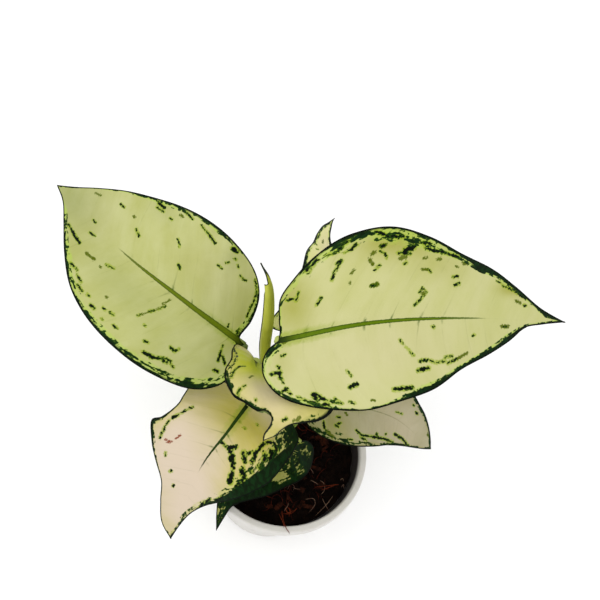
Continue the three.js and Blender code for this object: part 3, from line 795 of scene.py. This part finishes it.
        "oliveTintAndShade": (182, 188, 34), "fringe": (158, 160, 84), "cream": (206, 194, 130), "deep": (180, 172, 84),
        "rimLeft": [(0, 0.5, 1), (0.3, 0.6, 1.6), (0.42, 1.3, 2.6), (0.5, 0.8, 2.4), (0.6, 1.1, 2.8),
                    (0.7, 0.9, 1.8), (1, 0.5, 1)],
        "rimRight": [(0, 0.5, 1), (0.15, 0.6, 2.4), (0.3, 0.7, 4), (0.45, 0.9, 3.4), (0.6, 0.7, 2.6),
                     (0.75, 0.5, 1.4), (1, 0.5, 1)],
        "clouds": [],
        "olive": [(14, 1, 16, 12, 1.15), (46, -14, 6, 8, 0.2), (5, 8, 8, 4, 0.6), (24, 8, 10, 5, 0.3)],
        "blush": [(36, -4, 13, 11, 0.8), (28, 4, 9, 6, 0.4)],
        "dashes": [(21.8, 7.9, 20.2, 5.6, 0.7), (21.8, 7.9, 25.5, 10.5, 0.6), (25.5, 10.5, 30.5, 12.1, 0.5),
                   (37.2, 11.1, 35.7, 9.5, 0.7), (35.1, 8.2, 34.3, 7.3, 0.5), (39.7, 5.1, 39.8, 4.8, 0.6),
                   (49.9, -3.1, 49.2, -4.5, 0.7)],
        "smears": [(49.9, -7.2, 49.2, -9.6, 0.6), (27, 3, 30, 5, 0.4)],
    },
    "leaf_back": {
        "slot": "leaf",
        "rows": 170, "columns": 60,
        "mid": [[-17, 26, 140], [-10, 36, 152], [-9, 62, 147], [-13.2, 86, 137], [-13.9, 104, 129.5],
                [-13.2, 112.5, 126.5]],
        "side": [[0.98, -0.1, -0.1], [0.95, -0.1, -0.2]],
        "left": [[0, 0], [-4, 4], [-4, 9], [6, 11], [20, 11.5], [36, 12.6], [50, 12.6], [63, 8.5], [74, 6.3],
                 [84, 4.4], [92, 1.8], [99, 0]],
        "right": [[0, 0], [-4, 6], [1, 13], [13, 18], [30, 19], [45, 15], [58, 6.4], [68, 3], [78, 1.3],
                  [88, 0.7], [99, 0]],
        "fold": [8, 3], "droop": [2, 2],
        "waves": [(1, 40, 12, 2)],
        "stalk": [[-14, 12, 96], [-14, 19, 110], [-17, 25, 126], [-17, 26, 140]],
        "veinPitch": 9.0, "veinLean": (0.5, 0.5), "veinBend": (0.004, 0.004),
        "midrib": {"base": 1.2, "end": 50.0, "line": 0.2, "colour": (104, 122, 26), "edge": (54, 72, 16)},
        "cream": (224, 220, 162), "deep": (208, 208, 134),
        "rimLeft": [(0, 0.5, 2), (0.5, 0.5, 2.4), (0.8, 0.7, 2.6), (0.9, 0.9, 2), (1, 1, 2)],
        "rimRight": [(0, 0.5, 2), (0.5, 0.7, 3), (0.75, 1.1, 1.6), (0.92, 1.2, 1.6), (1, 0.8, 1)],
        "clouds": [(60, 6, 12, 4, 0.2)],
        "olive": [(12, 4, 14, 8, 0.4)],
        "blush": [(60, 0, 24, 6, 0.4)],
        "dashes": [(62.6, -8.2, 60.6, -6.9, 0.8), (68, -6, 73.5, -5, 0.7), (56, -7, 57, -6, 0.8),
                   (76, 1.6, 82, 1, 0.5), (40, 8, 42, 7, 0.8), (30, -6, 33, -7, 0.6), (20, 12, 24, 13, 0.8)],
        "smears": [(66, -3, 70, -2.5, 0.7), (44, 4, 48, 3, 0.9)],
    },
    "leaf_low_left": {
        "slot": "old_leaf",
        "rows": 230, "columns": 128,
        "mid": [[-25, -5, 113], [-29, -24, 122], [-36, -41, 107], [-40, -62, 62]],
        "side": [[-0.97, 0.17, 0.1], [-0.97, 0.17, 0.1]],
        "left": [[0, 0], [-6, 6], [-8, 14], [-8, 22], [-3, 29], [7, 30], [18, 29.5], [30, 28.5], [42, 25],
                 [53, 18], [62, 10], [72, 4.6], [84, 1.7], [96, 0]],
        "right": [[0, 0], [-6, 6], [-6, 14], [-2, 22], [7, 27], [18, 26.5], [28, 25.5], [36, 27.6], [41, 30.8],
                  [47, 26], [54, 19.6], [62, 14.2], [74, 11.4], [87, 7.5], [96, 0]],
        "fold": [5, 0], "droop": [5, 5],
        "waves": [(1, 41, 9, -4), (0, 48, 12, 2.5)],
        "stalk": [[-12, 5, 86], [-17, -1, 95], [-22, -5, 104], [-25, -5, 113]],
        "veinPitch": 8.0, "veinLean": (0.4, 0.3), "veinBend": (0.006, 0.006),
        "midrib": {"base": 0.95, "end": 48.0, "line": 0.0, "colour": (38, 64, 12), "edge": (20, 38, 8)},
        "pen": 0.66, "lumps": 3.0, "fringe": (176, 180, 92), "smear": (128, 66, 44), "oliveTintAndShade": (186, 174, 60),
        "cream": (200, 185, 158), "deep": (182, 172, 114),
        "rimLeft": [(0, 0.6, 1), (0.2, 1.4, 4), (0.28, 3, 11), (0.38, 4, 12.5), (0.46, 7, 12),
                    (0.54, 9.5, 12.5), (0.62, 8.5, 11.5), (0.68, 5, 7.5), (0.74, 2, 5), (0.8, 1, 4.4),
                    (0.87, 0.8, 3.4), (0.94, 0.7, 1.6), (1, 2, 3)],
        "rimRight": [(0, 0.5, 0.9), (0.4, 0.5, 0.8), (0.48, 0.7, 1.4), (0.53, 2, 3.2), (0.6, 2, 3.4),
                     (0.68, 0.7, 1.4), (0.8, 0.4, 0.7), (0.95, 0.5, 1), (1, 1.4, 2.4)],
        "clouds": [(-4, -21, 13, 9, 0.75)],
        # the first olive cloud, at the base, is painted shade: the olive of the shadow that the leaves above cast
        # there
        "olive": [(8, 6, 15, 18, 0.75), (14, -14, 12, 14, 0.6), (34, -16, 14, 8, 0.55), (34, 27, 10, 3.5, 0.5)],
        "blush": [(48, 10, 26, 14, 1.0), (60, -4, 18, 7, 0.9), (40, 20, 14, 8, 0.6), (76, 0, 12, 7, 0.7)],
        "dashes": [
            (27, -0.3, 27.5, -4.8, 0.7), (27.3, -4.7, 24.8, -7.2, 1.1), (27.8, -6.8, 29.4, -9.3, 1.4),
            (30.3, -8.2, 31, -11, 1.2), (31.5, -10.5, 33.6, -12.1, 1.2), (34.5, -12.6, 35.5, -13, 0.8),
            (37.4, -13.4, 41.8, -14.7, 1.9), (30.2, -15.6, 34.6, -19.2, 1.3), (31.5, -15.4, 34, -17, 1.0),
            (41.8, -18.1, 38.9, -18.5, 0.9), (24.6, -11, 27.2, -14.5, 1.1), (25.4, -17, 21.7, -15.7, 1.1),
            (21.7, -15.7, 18.1, -16.4, 0.9), (17.7, -16.1, 13.6, -18.4, 0.9), (25.1, -20.2, 25.3, -22.7, 0.9),
            (24, -13, 23, -14, 0.9), (28.5, -18.5, 29, -20, 0.8), (20, -19, 22, -20.5, 1.2),
            (17, -21, 20, -22.5, 1.3), (13, -20.5, 15, -23, 1.2), (36, -18.5, 37.5, -19.5, 0.9),
            (15.9, -5, 16, -5.7, 0.6), (9, -9, 9.6, -9.4, 0.6), (22.3, 19.3, 24.5, 20, 0.7),
            (26, 20.4, 29, 21.5, 0.3), (30.5, 22, 33, 23.2, 0.7), (35, 23.7, 37, 23.8, 0.4),
            (38.5, 23.6, 43.5, 23.2, 0.6), (47, 17.5, 48, 17, 0.6), (53, 11.5, 54, 12, 0.6),
            (60, 8, 61, 8, 0.6), (52, -15, 56, -13, 0.9), (57, -10, 61, -9, 0.8), (62, -8, 68, -7, 0.7),
        ],
        "smears": [(42.9, 18.9, 41, 17.3, 0.4), (38.9, 16.5, 36.3, 15.6, 0.3), (42.6, 20.5, 42, 18.5, 0.3)],
    },
    "leaf_low_right": {
        "slot": "old_leaf",
        "rows": 190, "columns": 100,
        "mid": [[8, 16, 100], [23, 13, 112], [47, 16, 108], [73, 17, 86]],
        "side": [[-0.08, -0.86, -0.5], [-0.1, -0.9, -0.4]],
        "left": [[0, 0], [-5, 6], [-3, 13], [6, 19], [18, 21], [32, 20], [43, 17], [52, 13.5], [61, 11],
                 [69, 7.5], [75, 3.5], [79, 0]],
        "right": [[0, 0], [-5, 6], [-3, 13], [4, 16.5], [12, 18.5], [22, 19.3], [36, 17], [47, 13.5], [57, 9.5],
                  [67, 5.5], [74, 2.5], [79, 0]],
        "fold": [6, 3], "droop": [2, 2],
        "waves": [(1, 36, 12, 1.5)],
        "stalk": [[-1, 10, 72], [3, 17, 82], [5, 18, 93], [8, 16, 100]],
        "veinPitch": 8.0, "veinLean": (0.4, 0.3), "veinBend": (0.004, 0.004),
        "midrib": {"base": 1.1, "end": 30.0, "line": 0.2, "colour": (110, 120, 50), "edge": (80, 90, 36)},
        "pen": 0.56, "lumps": 1.2, "fringe": (150, 148, 92), "cream": (168, 162, 132), "deep": (152, 146, 108),
        "rimLeft": [(0, 0.6, 1.2), (0.5, 1.5, 2.4), (0.85, 1.6, 2.4), (1, 1.2, 1.6)],
        "rimRight": [(0, 0.8, 3), (0.2, 0.9, 6), (0.4, 1.1, 5.5), (0.55, 0.9, 2.6), (0.75, 0.9, 1.8),
                     (0.9, 0.8, 1.4), (1, 1, 1.4)],
        "clouds": [(20, 14, 12, 4, 0.3)],
        "olive": [(10, 12, 12, 8, 0.5)],
        "blush": [(50, 2, 20, 12, 0.3)],
        "dashes": [
            (7.5, 10.4, 9.1, 13.3, 1.0), (14.5, 10.9, 16.2, 11.5, 0.7), (15.6, 10.1, 16.7, 9.4, 0.7),
            (14.3, 6.9, 15.9, 6.8, 0.5), (24.6, 11.1, 27.7, 12.9, 0.7), (27.7, 12.9, 34.2, 12.4, 0.6),
            (34.2, 12.4, 43.3, 11.4, 1.0), (43.3, 11.4, 49.1, 10.9, 0.8), (27.3, 14, 31.1, 14.8, 0.5),
            (35.9, 10.7, 36.8, 10.5, 0.7), (42, 9.1, 42.6, 8.9, 0.7), (47.8, 7, 54.6, 6.6, 1.1),
            (54.6, 6.6, 61.3, 7.3, 1.0), (22.7, 16.1, 23.3, 16, 0.6), (43.1, -3.1, 46.7, -3.7, 0.4),
            (49.7, -10.8, 50.5, -10.7, 0.7), (53.6, -8.6, 55.2, -8.4, 0.7),
        ],
        "smears": [(10.7, 14.5, 14.6, 16.8, 1.2), (69.9, -4.5, 73.7, -4.1, 0.6), (18, 4, 19, 5, 0.5)],
    },
    "leaf_under": {
        "slot": "dark_leaf",
        "rows": 130, "columns": 70,
        "mid": [[5, 2, 76], [-6, -15, 84], [-15.5, -33, 79], [-20, -51, 64]],
        "side": [[-0.9, 0.3, 0.1], [-0.9, 0.4, 0]],
        "left": [[0, 0], [-5, 3], [-5, 8], [1, 13], [9, 17], [18, 18], [27, 15.5], [36.5, 12.3], [45, 6.8],
                 [52, 1.6], [60, 0.4], [68, 0]],
        "right": [[0, 0], [2, 5], [8, 10], [17, 14], [27, 15], [38, 13.5], [48, 9.6], [56, 5.8], [62, 3.2],
                  [68, 0]],
        "fold": [6, 3], "droop": [3, 3],
        "waves": [(0, 30, 10, 2)],
        "stalk": [[2, 4, 64], [5, 4, 68], [6, 3, 72], [5, 2, 76]],
        "veinPitch": 7.0, "veinLean": (0.5, 0.5), "veinBend": (0.004, 0.004),
        "midrib": {"base": 1.0, "end": 50.0, "line": 0.0, "colour": (26, 48, 12), "edge": (14, 30, 8)},
        "fringe": (160, 158, 92), "cream": (176, 172, 106), "deep": (150, 154, 80),
        "rimLeft": [(0, 2, 16), (0.3, 2, 16), (0.5, 3, 14), (0.75, 0.7, 8), (1, 0.5, 5)],
        "rimRight": [(0, 3, 16), (0.5, 3, 12), (0.75, 0.7, 8), (1, 0.5, 5)],
        "clouds": [(38, 0, 16, 20, 1.2), (60, 0, 12, 10, 0.1), (20, 8, 20, 12, 0.9), (8, -11, 16, 9, 0.55),
                   (25, -9, 4, 4.5, -1.3), (14, -13, 3, 2, -0.5)],
        "olive": [(25, 0, 30, 20, 0.3)],
        "blush": [],
        "dashes": [], "smears": [],
    },
}
leaves = {name: {**blade, **leaf} for name, leaf in leaves.items()}


class Blade:  # one leaf's surface, from its flat millimetres to its place
    def __init__(self, leaf):
        self.leaf = leaf
        self.mid = Path(leaf["mid"])

    def margin(self, half, share):
        return through(self.leaf["right" if half else "left"], share)

    def at(self, along, out):
        leaf, length = self.leaf, self.mid.length
        share = np.clip(along / length, 0, 1)
        heading = self.mid.heading(share)
        point = self.mid.at(share) + heading * (along - share * length)[:, None]
        side = through(leaf["side"], share)
        side = unit(side - heading * (side * heading).sum(1)[:, None])
        up = np.cross(side, heading)
        fold = np.radians(leaf["fold"][0] + (leaf["fold"][1] - leaf["fold"][0]) * share)
        right = out >= 0
        wide = np.abs(out) / leaf["fullReach"]
        rise = np.abs(out) * np.sin(fold) - np.where(right, leaf["droop"][1], leaf["droop"][0]) * wide ** 2
        for half, place, reach, lift in leaf["waves"]:
            near = np.exp(-((along - place) / reach) ** 2) * wide ** 1.5
            rise = rise + lift * near * (right == bool(half))
        return point + side * (out * np.cos(fold))[:, None] + up * rise[:, None]

    def normal(self, along, out):
        step = 0.5
        forward = self.at(along + step, out) - self.at(along - step, out)
        outward = self.at(along, out + step) - self.at(along, out - step)
        return unit(np.cross(outward, forward))

    def flat(self, row, column):
        reach = np.abs(column)
        bow = reach ** self.leaf["bow"]
        rim = np.where((column < 0)[:, None], self.margin(0, row), self.margin(1, row))
        along = row * self.mid.length * (1 - bow) + rim[:, 0] * bow
        return along, np.sign(column) * rim[:, 1] * reach

    def vein(self, along, out):  # the same number all along one side vein
        half = (out >= 0).astype(int)
        lean, bend = np.array(self.leaf["veinLean"])[half], np.array(self.leaf["veinBend"])[half]
        return along - lean * np.abs(out) - bend * out ** 2

    def edge(self, along, out):
        # Distance in from the margin, the nearest place on it in millimetres from the base, less than
        # 0 on the left, and that place as a share from 0 to 1 on the left and from 1 to 2 on the right
        count = 120
        ticks = np.linspace(0, 1, count + 1)
        loops = [self.margin(0, ticks) * (1, -1), self.margin(1, ticks)]
        nearest, place, share = np.full(len(along), 1e9), np.zeros(len(along)), np.zeros(len(along))
        for half, loop in enumerate(loops):
            travelled = 0.0
            for i, (a, b) in enumerate(zip(loop, loop[1:])):
                span = np.linalg.norm(b - a) + 1e-9
                w = np.clip(((along - a[0]) * (b - a)[0] + (out - a[1]) * (b - a)[1]) / span ** 2, 0, 1)
                gap = np.hypot(along - a[0] - w * (b - a)[0], out - a[1] - w * (b - a)[1])
                better = gap < nearest
                nearest = np.where(better, gap, nearest)
                place = np.where(better, (travelled + w * span) * (1 if half else -1), place)
                share = np.where(better, half + (i + w) / count * 0.999, share)
                travelled += span
        return nearest, place, share


def strokeField(strokes, along, out, pen):  # distance from the nearest stroke, less than 0 inside it
    field = np.full(len(along), 9.0)
    for a, b, c, d, half in strokes:
        span = math.hypot(c - a, d - b) + 1e-6
        w = np.clip(((along - a) * (c - a) + (out - b) * (d - b)) / span ** 2, 0, 1)
        gap = np.hypot(along - a - w * (c - a), out - b - w * (d - b)) - pen * half
        field = np.minimum(field, gap)
    return field


def cloudField(clouds, along, out):
    field = np.zeros(len(along))
    for a, b, c, d, strength in clouds:
        field += strength * np.exp(-((along - a) / c) ** 2 - ((out - b) / d) ** 2)
    return np.clip(field, -1.5, 1.5)


def leafMaterial(name, leaf, underside):
    s = Sheet(name)
    along, out, edge = s.attribute("flat")
    ink, arc, vein = s.attribute("paint")
    dash, smear, solid = s.attribute("marks")
    olive, blush, seed = s.attribute("tone")
    across = abs(out)

    ribbon = s.noise((arc * 0.16, edge * 0.72, seed), 2.5, 0.55)
    fleck = s.noise((vein * 0.5, out * 0.42, seed + 4.0), 2.5, 0.6)
    ragged = s.noise((vein * 1.3, out * 1.1, seed + 9.0), 2.5, 0.6) - 0.5
    lump = s.noise((along * 0.6, out * 0.6, seed + 12.0), 1.5) - 0.5
    broad = s.noise((vein * 0.09, out * 0.035, seed), 3.0, 0.55)
    mottle = s.noise((along * 0.06, out * 0.06, seed), 4.0, 0.6)
    grain = s.noise((vein * 0.7, out * 0.09, seed + 6.0), 3.0, 0.6)
    wander = s.noise((vein * 0.05, out * 0.02, seed + 2.0), 1.0) * 1.4
    pores = s.noise((along * 3.0, out * 3.0, seed), 2.0)

    # Cream ground, in soft greener areas
    colour = s.blend(broad.ramp(0.3, 0.7) * 0.6 + mottle.ramp(0.3, 0.7) * 0.4, leaf["cream"], leaf["deep"])
    colour = s.blend(blush * (0.7 + mottle * 0.5), colour, leaf["flush"])
    # Olive tint, and painted shade where the olive clouds paint it (leaf_left's tip, leaf_low_left's base)
    colour = s.blend(olive * (0.6 + mottle * 0.5), colour, leaf["oliveTintAndShade"])
    colour = s.blend(grain.ramp(0.5, 0.8) * 0.05, colour, leaf["veins"])

    # Side veins, and green stubs where they leave the midrib
    rib = leaf["midrib"]
    fromVein = abs((s.maths("FRACT", vein / leaf["veinPitch"] + wander) - 0.5) * leaf["veinPitch"])
    nearRib = across.ramp(9.0, 1.5) * along.ramp(rib["end"], rib["end"] * 0.4)
    sideVein = fromVein.ramp(0.4, 0.08) * mottle.ramp(0.42, 0.62)
    colour = s.blend(sideVein * (0.1 + nearRib * 0.4), colour, leaf["veins"])
    stub = fromVein.ramp(1.0, 0.1) * across.ramp(3.4, 1.2) * nearRib * fleck.ramp(0.4, 0.6)
    colour = s.blend(stub * 0.8, colour, leaf["darkSoft"])

    # Yellow-green fringes and halos, then olive smears
    fringe = (ink + (mottle + ribbon - 1.0) * 1.6).ramp(0.42, 1.05) * 0.6
    colour = s.blend(fringe, colour, leaf["fringe"])
    ribHalo = (across - fleck * 3.0).ramp(2.2, 0.2) * along.ramp(34.0, 6.0) * 0.6
    halo = ((dash + ragged * 1.6).ramp(0.85, 0.15) * 0.75).most(ribHalo)
    colour = s.blend(halo, colour, leaf["halo"])
    smeared = (smear + ragged * 2.2).ramp(0.45, 0.0) * (0.7 + ribbon * 0.5)
    colour = s.blend(smeared, colour, leaf["smear"])

    # Dark green: the speckle, the dashes, the solid rim and a thin line at the margin
    level = ink + (ribbon * 0.6 + fleck * 0.4 - 0.5) * 4.6
    torn = dash + ragged * 2.0 + lump * leaf["lumps"]
    mark = torn.ramp(0.2, 0.02)
    border = edge.ramp(0.7, 0.45)
    core = border.most(torn.ramp(0.0, -0.3))
    soft = level.ramp(1.35, 1.0) * (1 - mark) * 0.6 + mark * (1 - core) * 0.9
    green = s.blend(fleck.ramp(0.42, 0.62), leaf["dark"], leaf["darkBlue"])
    green = s.blend(soft * (1 - solid), green, leaf["darkSoft"])
    green = s.blend(core, green, leaf["darkEdge"])
    colour = s.blend(level.ramp(0.93, 1.07).most(mark).most(solid).most(border), colour, green)

    # Midrib
    width = rib["base"] * (1 - along / rib["end"]).most(0.0) ** 0.7 + rib["line"] * along.ramp(138.0, 120.0)
    ribbed = (across - width - ragged * 0.5).ramp(0.14, -0.1) * width.ramp(0.05, 0.3)
    rail = abs(across - width * 0.85).ramp(0.45, 0.05)
    ribColour = s.blend(rail * 0.75 + fleck.ramp(0.5, 0.7) * 0.25, rib["colour"], rib["edge"])
    ribColour = s.blend(along.ramp(11.0, -2.0), ribColour, leaf["dark"])
    colour = s.blend(ribbed * along.ramp(rib["end"] + 40.0, rib["end"] * 0.7), colour, ribColour)

    height = grain * 0.3 + fromVein.ramp(0.0, 0.8) * 0.2 * mottle + pores * 0.2
    if underside:
        colour = s.blend(0.5, colour, leaf["underside"])
        return s.finish(colour, 0.55 + pores * 0.15, height + pores * 0.2, 0.16, Specular_IOR_Level=0.08)
    return s.finish(colour, 0.42 + pores * 0.12, height, 0.12, Specular_IOR_Level=0.06)


def buildBlade(name, leaf, seed):
    shape = Blade(leaf)

    def fields(row, column):
        along, out = shape.flat(row, column)
        edge, arc, share = shape.edge(along, out)
        solid, speckled = np.zeros(len(along)), np.zeros(len(along))
        for half, key in enumerate(("rimLeft", "rimRight")):
            places, solids, speckles = np.array(leaf[key]).T
            mine = (share >= half) & (share < half + 1)
            solid = np.where(mine, np.interp(share - half, places, solids), solid)
            speckled = np.where(mine, np.interp(share - half, places, speckles), speckled)
        inward = np.clip((edge - solid) / np.maximum(speckled - solid, 0.3), 0, 1)
        ink = 1 - inward ** 2 + 0.45 * np.clip(1 - edge / np.maximum(solid, 0.3), 0, 1)
        ink = ink + cloudField(leaf["clouds"], along, out)
        filled = np.clip((solid * 0.8 - edge) / 0.3, 0, 1)
        dash, smear = (strokeField(leaf[key], along, out, leaf["pen"]) for key in ("dashes", "smears"))
        # the olive field holds painted shade at leaf_left's tip and leaf_low_left's base
        olive, blush = (cloudField(leaf[key], along, out) for key in ("olive", "blush"))
        return {
            "flat": (along, out, edge),
            "paint": (ink, arc, shape.vein(along, out)),
            "marks": (dash, smear, filled),
            "tone": (olive, blush, np.full(len(along), seed)),
        }

    def shaped(row, column):
        along, out = shape.flat(row, column)
        edge = shape.edge(along, out)[0]
        vein = shape.vein(along, out)
        firm = np.clip(np.abs(out) / 6, 0, 1) * np.clip(edge / 5, 0, 1)
        quilt = -leaf["quilt"] * np.cos(2 * np.pi * vein / leaf["veinPitch"]) * firm
        groove = -leaf["ribSink"] * np.exp(-(out / 2.6) ** 2) + leaf["ribRise"] * np.exp(-(out / 0.9) ** 2)
        return shape.at(along, out) + shape.normal(along, out) * (quilt + groove)[:, None]

    mesh = gridMesh(name, leaf["rows"], leaf["columns"], shaped, fields)
    middle = Vector(shape.normal(np.array([shape.mid.length / 2]), np.array([1.0]))[0])
    facing = sum((face.normal * face.area for face in mesh.polygons), Vector())
    if facing.dot(middle) < 0:
        mesh.flip_normals()
    finishes = [leafMaterial(name + "Upper", leaf, False), leafMaterial(name + "Under", leaf, True)]
    piece = addObject(name + "_blade", mesh, finishes, name)
    thicken(piece, leaf["thickness"], back=1)


for number, (name, leaf) in enumerate(leaves.items()):
    buildBlade(name, leaf, 7.3 * number + 1.7)  # each has its own part of the noises
print("blades ready")


# Stalks, with the rib that runs on under the blade

stalk = {
    "grid": (60, 36),
    "base": 3.1,
    "top": 2.1,
    "sheathEnd": 0.5,
    "groove": 0.28,
    "wing": 0.22,
    "ribGrid": (90, 16),
    "ribBase": 1.5,
    "ribTip": 0.45,
    "ribReach": 0.74,
    "ribDepth": 0.15,
    "colour": (172, 182, 98),
    "foot": (128, 150, 58),
    "edge": (78, 104, 30),
    "speck": (64, 92, 34),
    "collar": (40, 66, 12),
}


def stalkMaterial(p):
    s = Sheet("leafStalk")
    share, angle, collar = s.attribute("flat")
    fibre = s.noise((angle * 6.0, share * 3.0, 1.0), 3.0, 0.6)
    speck = s.noise((angle * 3.0, share * 14.0, 4.0), 3.0, 0.6).ramp(0.62, 0.7)
    mottle = s.noise(s.place(), 3.0, 0.6, 0.16)
    colour = s.blend(share.ramp(0.55, 0.0) * 0.9 + mottle * 0.2, p["colour"], p["foot"])
    colour = s.blend(fibre.ramp(0.5, 0.72) * 0.5, colour, p["edge"])
    colour = s.blend(share.ramp(0.84, 0.96) * share.ramp(1.1, 1.0) * collar * 0.8, colour, p["collar"])
    colour = s.blend(speck * 0.6 * share.ramp(0.75, 0.3), colour, p["speck"])
    return s.finish(colour, 0.42 + fibre * 0.15, fibre, 0.15, Specular_IOR_Level=0.15)


def buildStalk(name, leaf, p, material):
    shape = Blade(leaf)
    outward = np.array(leaf["mid"][-1], float) - np.array(leaf["stalk"][0], float)
    inner = -outward * (1, 1, 0) / np.linalg.norm(outward) + (0, 0, 0.35)  # the side with the groove

    def girth(row, angle):
        radius = p["base"] + (p["top"] - p["base"]) * np.sqrt(row)
        sheath = np.clip(1 - row / p["sheathEnd"], 0, 1)
        groove = p["groove"] * np.exp(-(angle / 0.55) ** 2) * (0.45 + 0.55 * (1 - row))
        wing = p["wing"] * sheath * np.exp(-((np.abs(angle) - 0.95) / 0.28) ** 2)
        return radius * (1 - groove + wing)

    def ribGirth(row, angle=0):
        return p["ribBase"] + (p["ribTip"] - p["ribBase"]) * row

    def fieldsFrom(start):  # a share of 0 to 1 is the stalk, of 1 to 2 the rib
        return lambda row, column: {"flat": (start + row, column, 0 * row + leaf["collar"])}

    foot = tubeMesh(name, Path(leaf["stalk"]), *p["grid"], girth, inner, fieldsFrom(0))
    along = np.linspace(-2.0, shape.mid.length * p["ribReach"], 40)
    sunk = ribGirth(np.linspace(0, 1, 40)) + np.interp(along, [-2, 6], [0.4, p["ribDepth"]])
    spine = shape.at(along, 0 * along) - shape.normal(along, 0 * along) * sunk[:, None]
    rib = tubeMesh(name, Path(spine), *p["ribGrid"], ribGirth, (0, 0, 1), fieldsFrom(1))
    addObject(name + "_stalk", joinedMesh(name + "_stalk", [foot, rib]), [material], name)


stalkFinish = stalkMaterial(stalk)
for name, leaf in leaves.items():
    buildStalk(name, leaf, stalk, stalkFinish)
print("stalks ready")


# Cane, ringed with the scars of dropped leaves

cane = {
    "path": [[4, 6, 44], [1, 6, 62], [-7, 8, 80], [-15, 10, 97], [-18, 11, 106]],
    "grid": (160, 56),
    "radius": 4.8,
    "swell": 0.1,
    "scars": [0.36, 0.5, 0.63, 0.74, 0.85],
    "scarHeight": 0.7,
    "scarWidth": 0.014,
    "colour": (136, 146, 76),
    "old": (118, 104, 66),
    "scar": (92, 76, 48),
}


def caneMaterial(p):
    s = Sheet("caneSkin")
    share, angle, scar = s.attribute("flat")
    fibre = s.noise((angle * 7.0, share * 12.0, 2.0), 4.0, 0.6)
    mottle = s.noise(s.place(), 4.0, 0.65, 0.18)
    colour = s.blend(share.ramp(0.75, 0.35) * 0.8 + mottle * 0.2, p["colour"], p["old"])
    colour = s.blend(fibre.ramp(0.5, 0.75) * 0.5, colour, p["scar"])
    colour = s.blend(scar.ramp(0.35, 0.9) * 0.8, colour, p["scar"])
    return s.finish(colour, 0.6 + fibre * 0.2, fibre + mottle, 0.25)


def buildCane(p):
    def scarAt(row, angle):
        place = row + 0.006 * np.cos(angle + 9 * row)
        return np.max([np.exp(-((place - scar) / p["scarWidth"]) ** 2) for scar in p["scars"]], axis=0)

    def girth(row, angle):
        swell = p["swell"] * np.sin(row * 40 + np.sin(angle))
        return p["radius"] + p["scarHeight"] * scarAt(row, angle) + swell

    mesh = tubeMesh("cane", Path(p["path"]), *p["grid"], girth, (1, 0, 0),
                    lambda row, column: {"flat": (row, column, scarAt(row, math.pi * column))})
    addObject("cane", mesh, [caneMaterial(p)], "stem")
    print("cane ready")


buildCane(cane)


# The rolled new leaf: one thin sheet wound on itself, open and drawn to a point at the top

furled = {
    "path": [[-19, 13, 105], [-25, 16, 130], [-27.6, 16, 160], [-30.1, 15, 181], [-33, 14.5, 191.5],
             [-36.4, 14, 200]],
    "grid": (260, 90),
    "radii": [2.6, 2.7, 2.8, 2.9, 2.9, 2.8, 2.6, 2.3, 1.7, 1],
    "pitch": 0.5,  # between one turn and the next
    "rows": [0, 0.76, 0.85, 0.87, 0.93, 1],  # shares of the height, and the sheet's two margins there in degrees
    "low": [-205, -205, -196, -75, -52, -38],
    "high": [165, 160, 60, 34, 0, -30],
    "side": (0.95, 0.26, 0.18),  # where 0 degrees is
    "thickness": 0.4,
    "colour": (196, 200, 84),
    "foot": (174, 180, 52),
    # olive for fibre and the margin band, and painted shade on one side of the roll
    "shade": (140, 148, 20),
    "line": (12, 26, 8),
}


def furledMaterial(p):
    s = Sheet("furledLeaf")
    share, angle, edge = s.attribute("flat")
    fibre = s.noise((angle * 3.0, share * 5.0, 2.0), 3.0, 0.6)
    ragged = s.noise((share * 60.0, angle * 4.0, 6.0), 2.0)
    mottle = s.noise(s.place(), 3.0, 0.6, 0.12)
    colour = s.blend(share.ramp(0.7, 0.1) * 0.8, p["colour"], p["foot"])
    # Painted shade: the side of the roll at angles above about -0.7 radians darker olive, with some random mottle
    colour = s.blend(angle.ramp(-1.9, -0.7) * 0.75 + mottle.ramp(0.4, 0.7) * 0.2, colour, p["shade"])
    colour = s.blend(fibre.ramp(0.45, 0.75) * 0.3, colour, p["shade"])
    colour = s.blend((edge - ragged * 0.9).ramp(0.6, 0.1) * 0.8, colour, p["shade"])
    colour = s.blend((edge - ragged * 0.4).ramp(0.5, 0.25), colour, p["line"])
    return s.finish(colour, 0.42 + fibre * 0.12, fibre, 0.12, Specular_IOR_Level=0.1)


def buildFurled(p):
    path = Path(p["path"])

    def sheet(row, column):  # the angle round the roll, its radius, and how wide the sheet is
        low, high = (np.radians(np.interp(row, p["rows"], p[side])) for side in ("low", "high"))
        radius = np.interp(row, np.linspace(0, 1, len(p["radii"])), p["radii"])
        angle = low + (high - low) * (column + 1) / 2
        return angle, radius - p["pitch"] * (1 - column) / 2, radius * (high - low)

    def shaped(row, column):
        angle, radius, _ = sheet(row, column)
        return path.ring(row, p["side"], angle, radius - p["thickness"] / 2)

    def fields(row, column):
        angle, _, width = sheet(row, column)
        return {"flat": (row, angle, (1 - np.abs(column)) / 2 * width)}

    mesh = gridMesh("furledLeaf", *p["grid"], shaped, fields)
    piece = addObject("furledLeaf", mesh, [furledMaterial(p)], "leaf_furled")
    thicken(piece, p["thickness"])
    print("furled leaf ready")


buildFurled(furled)
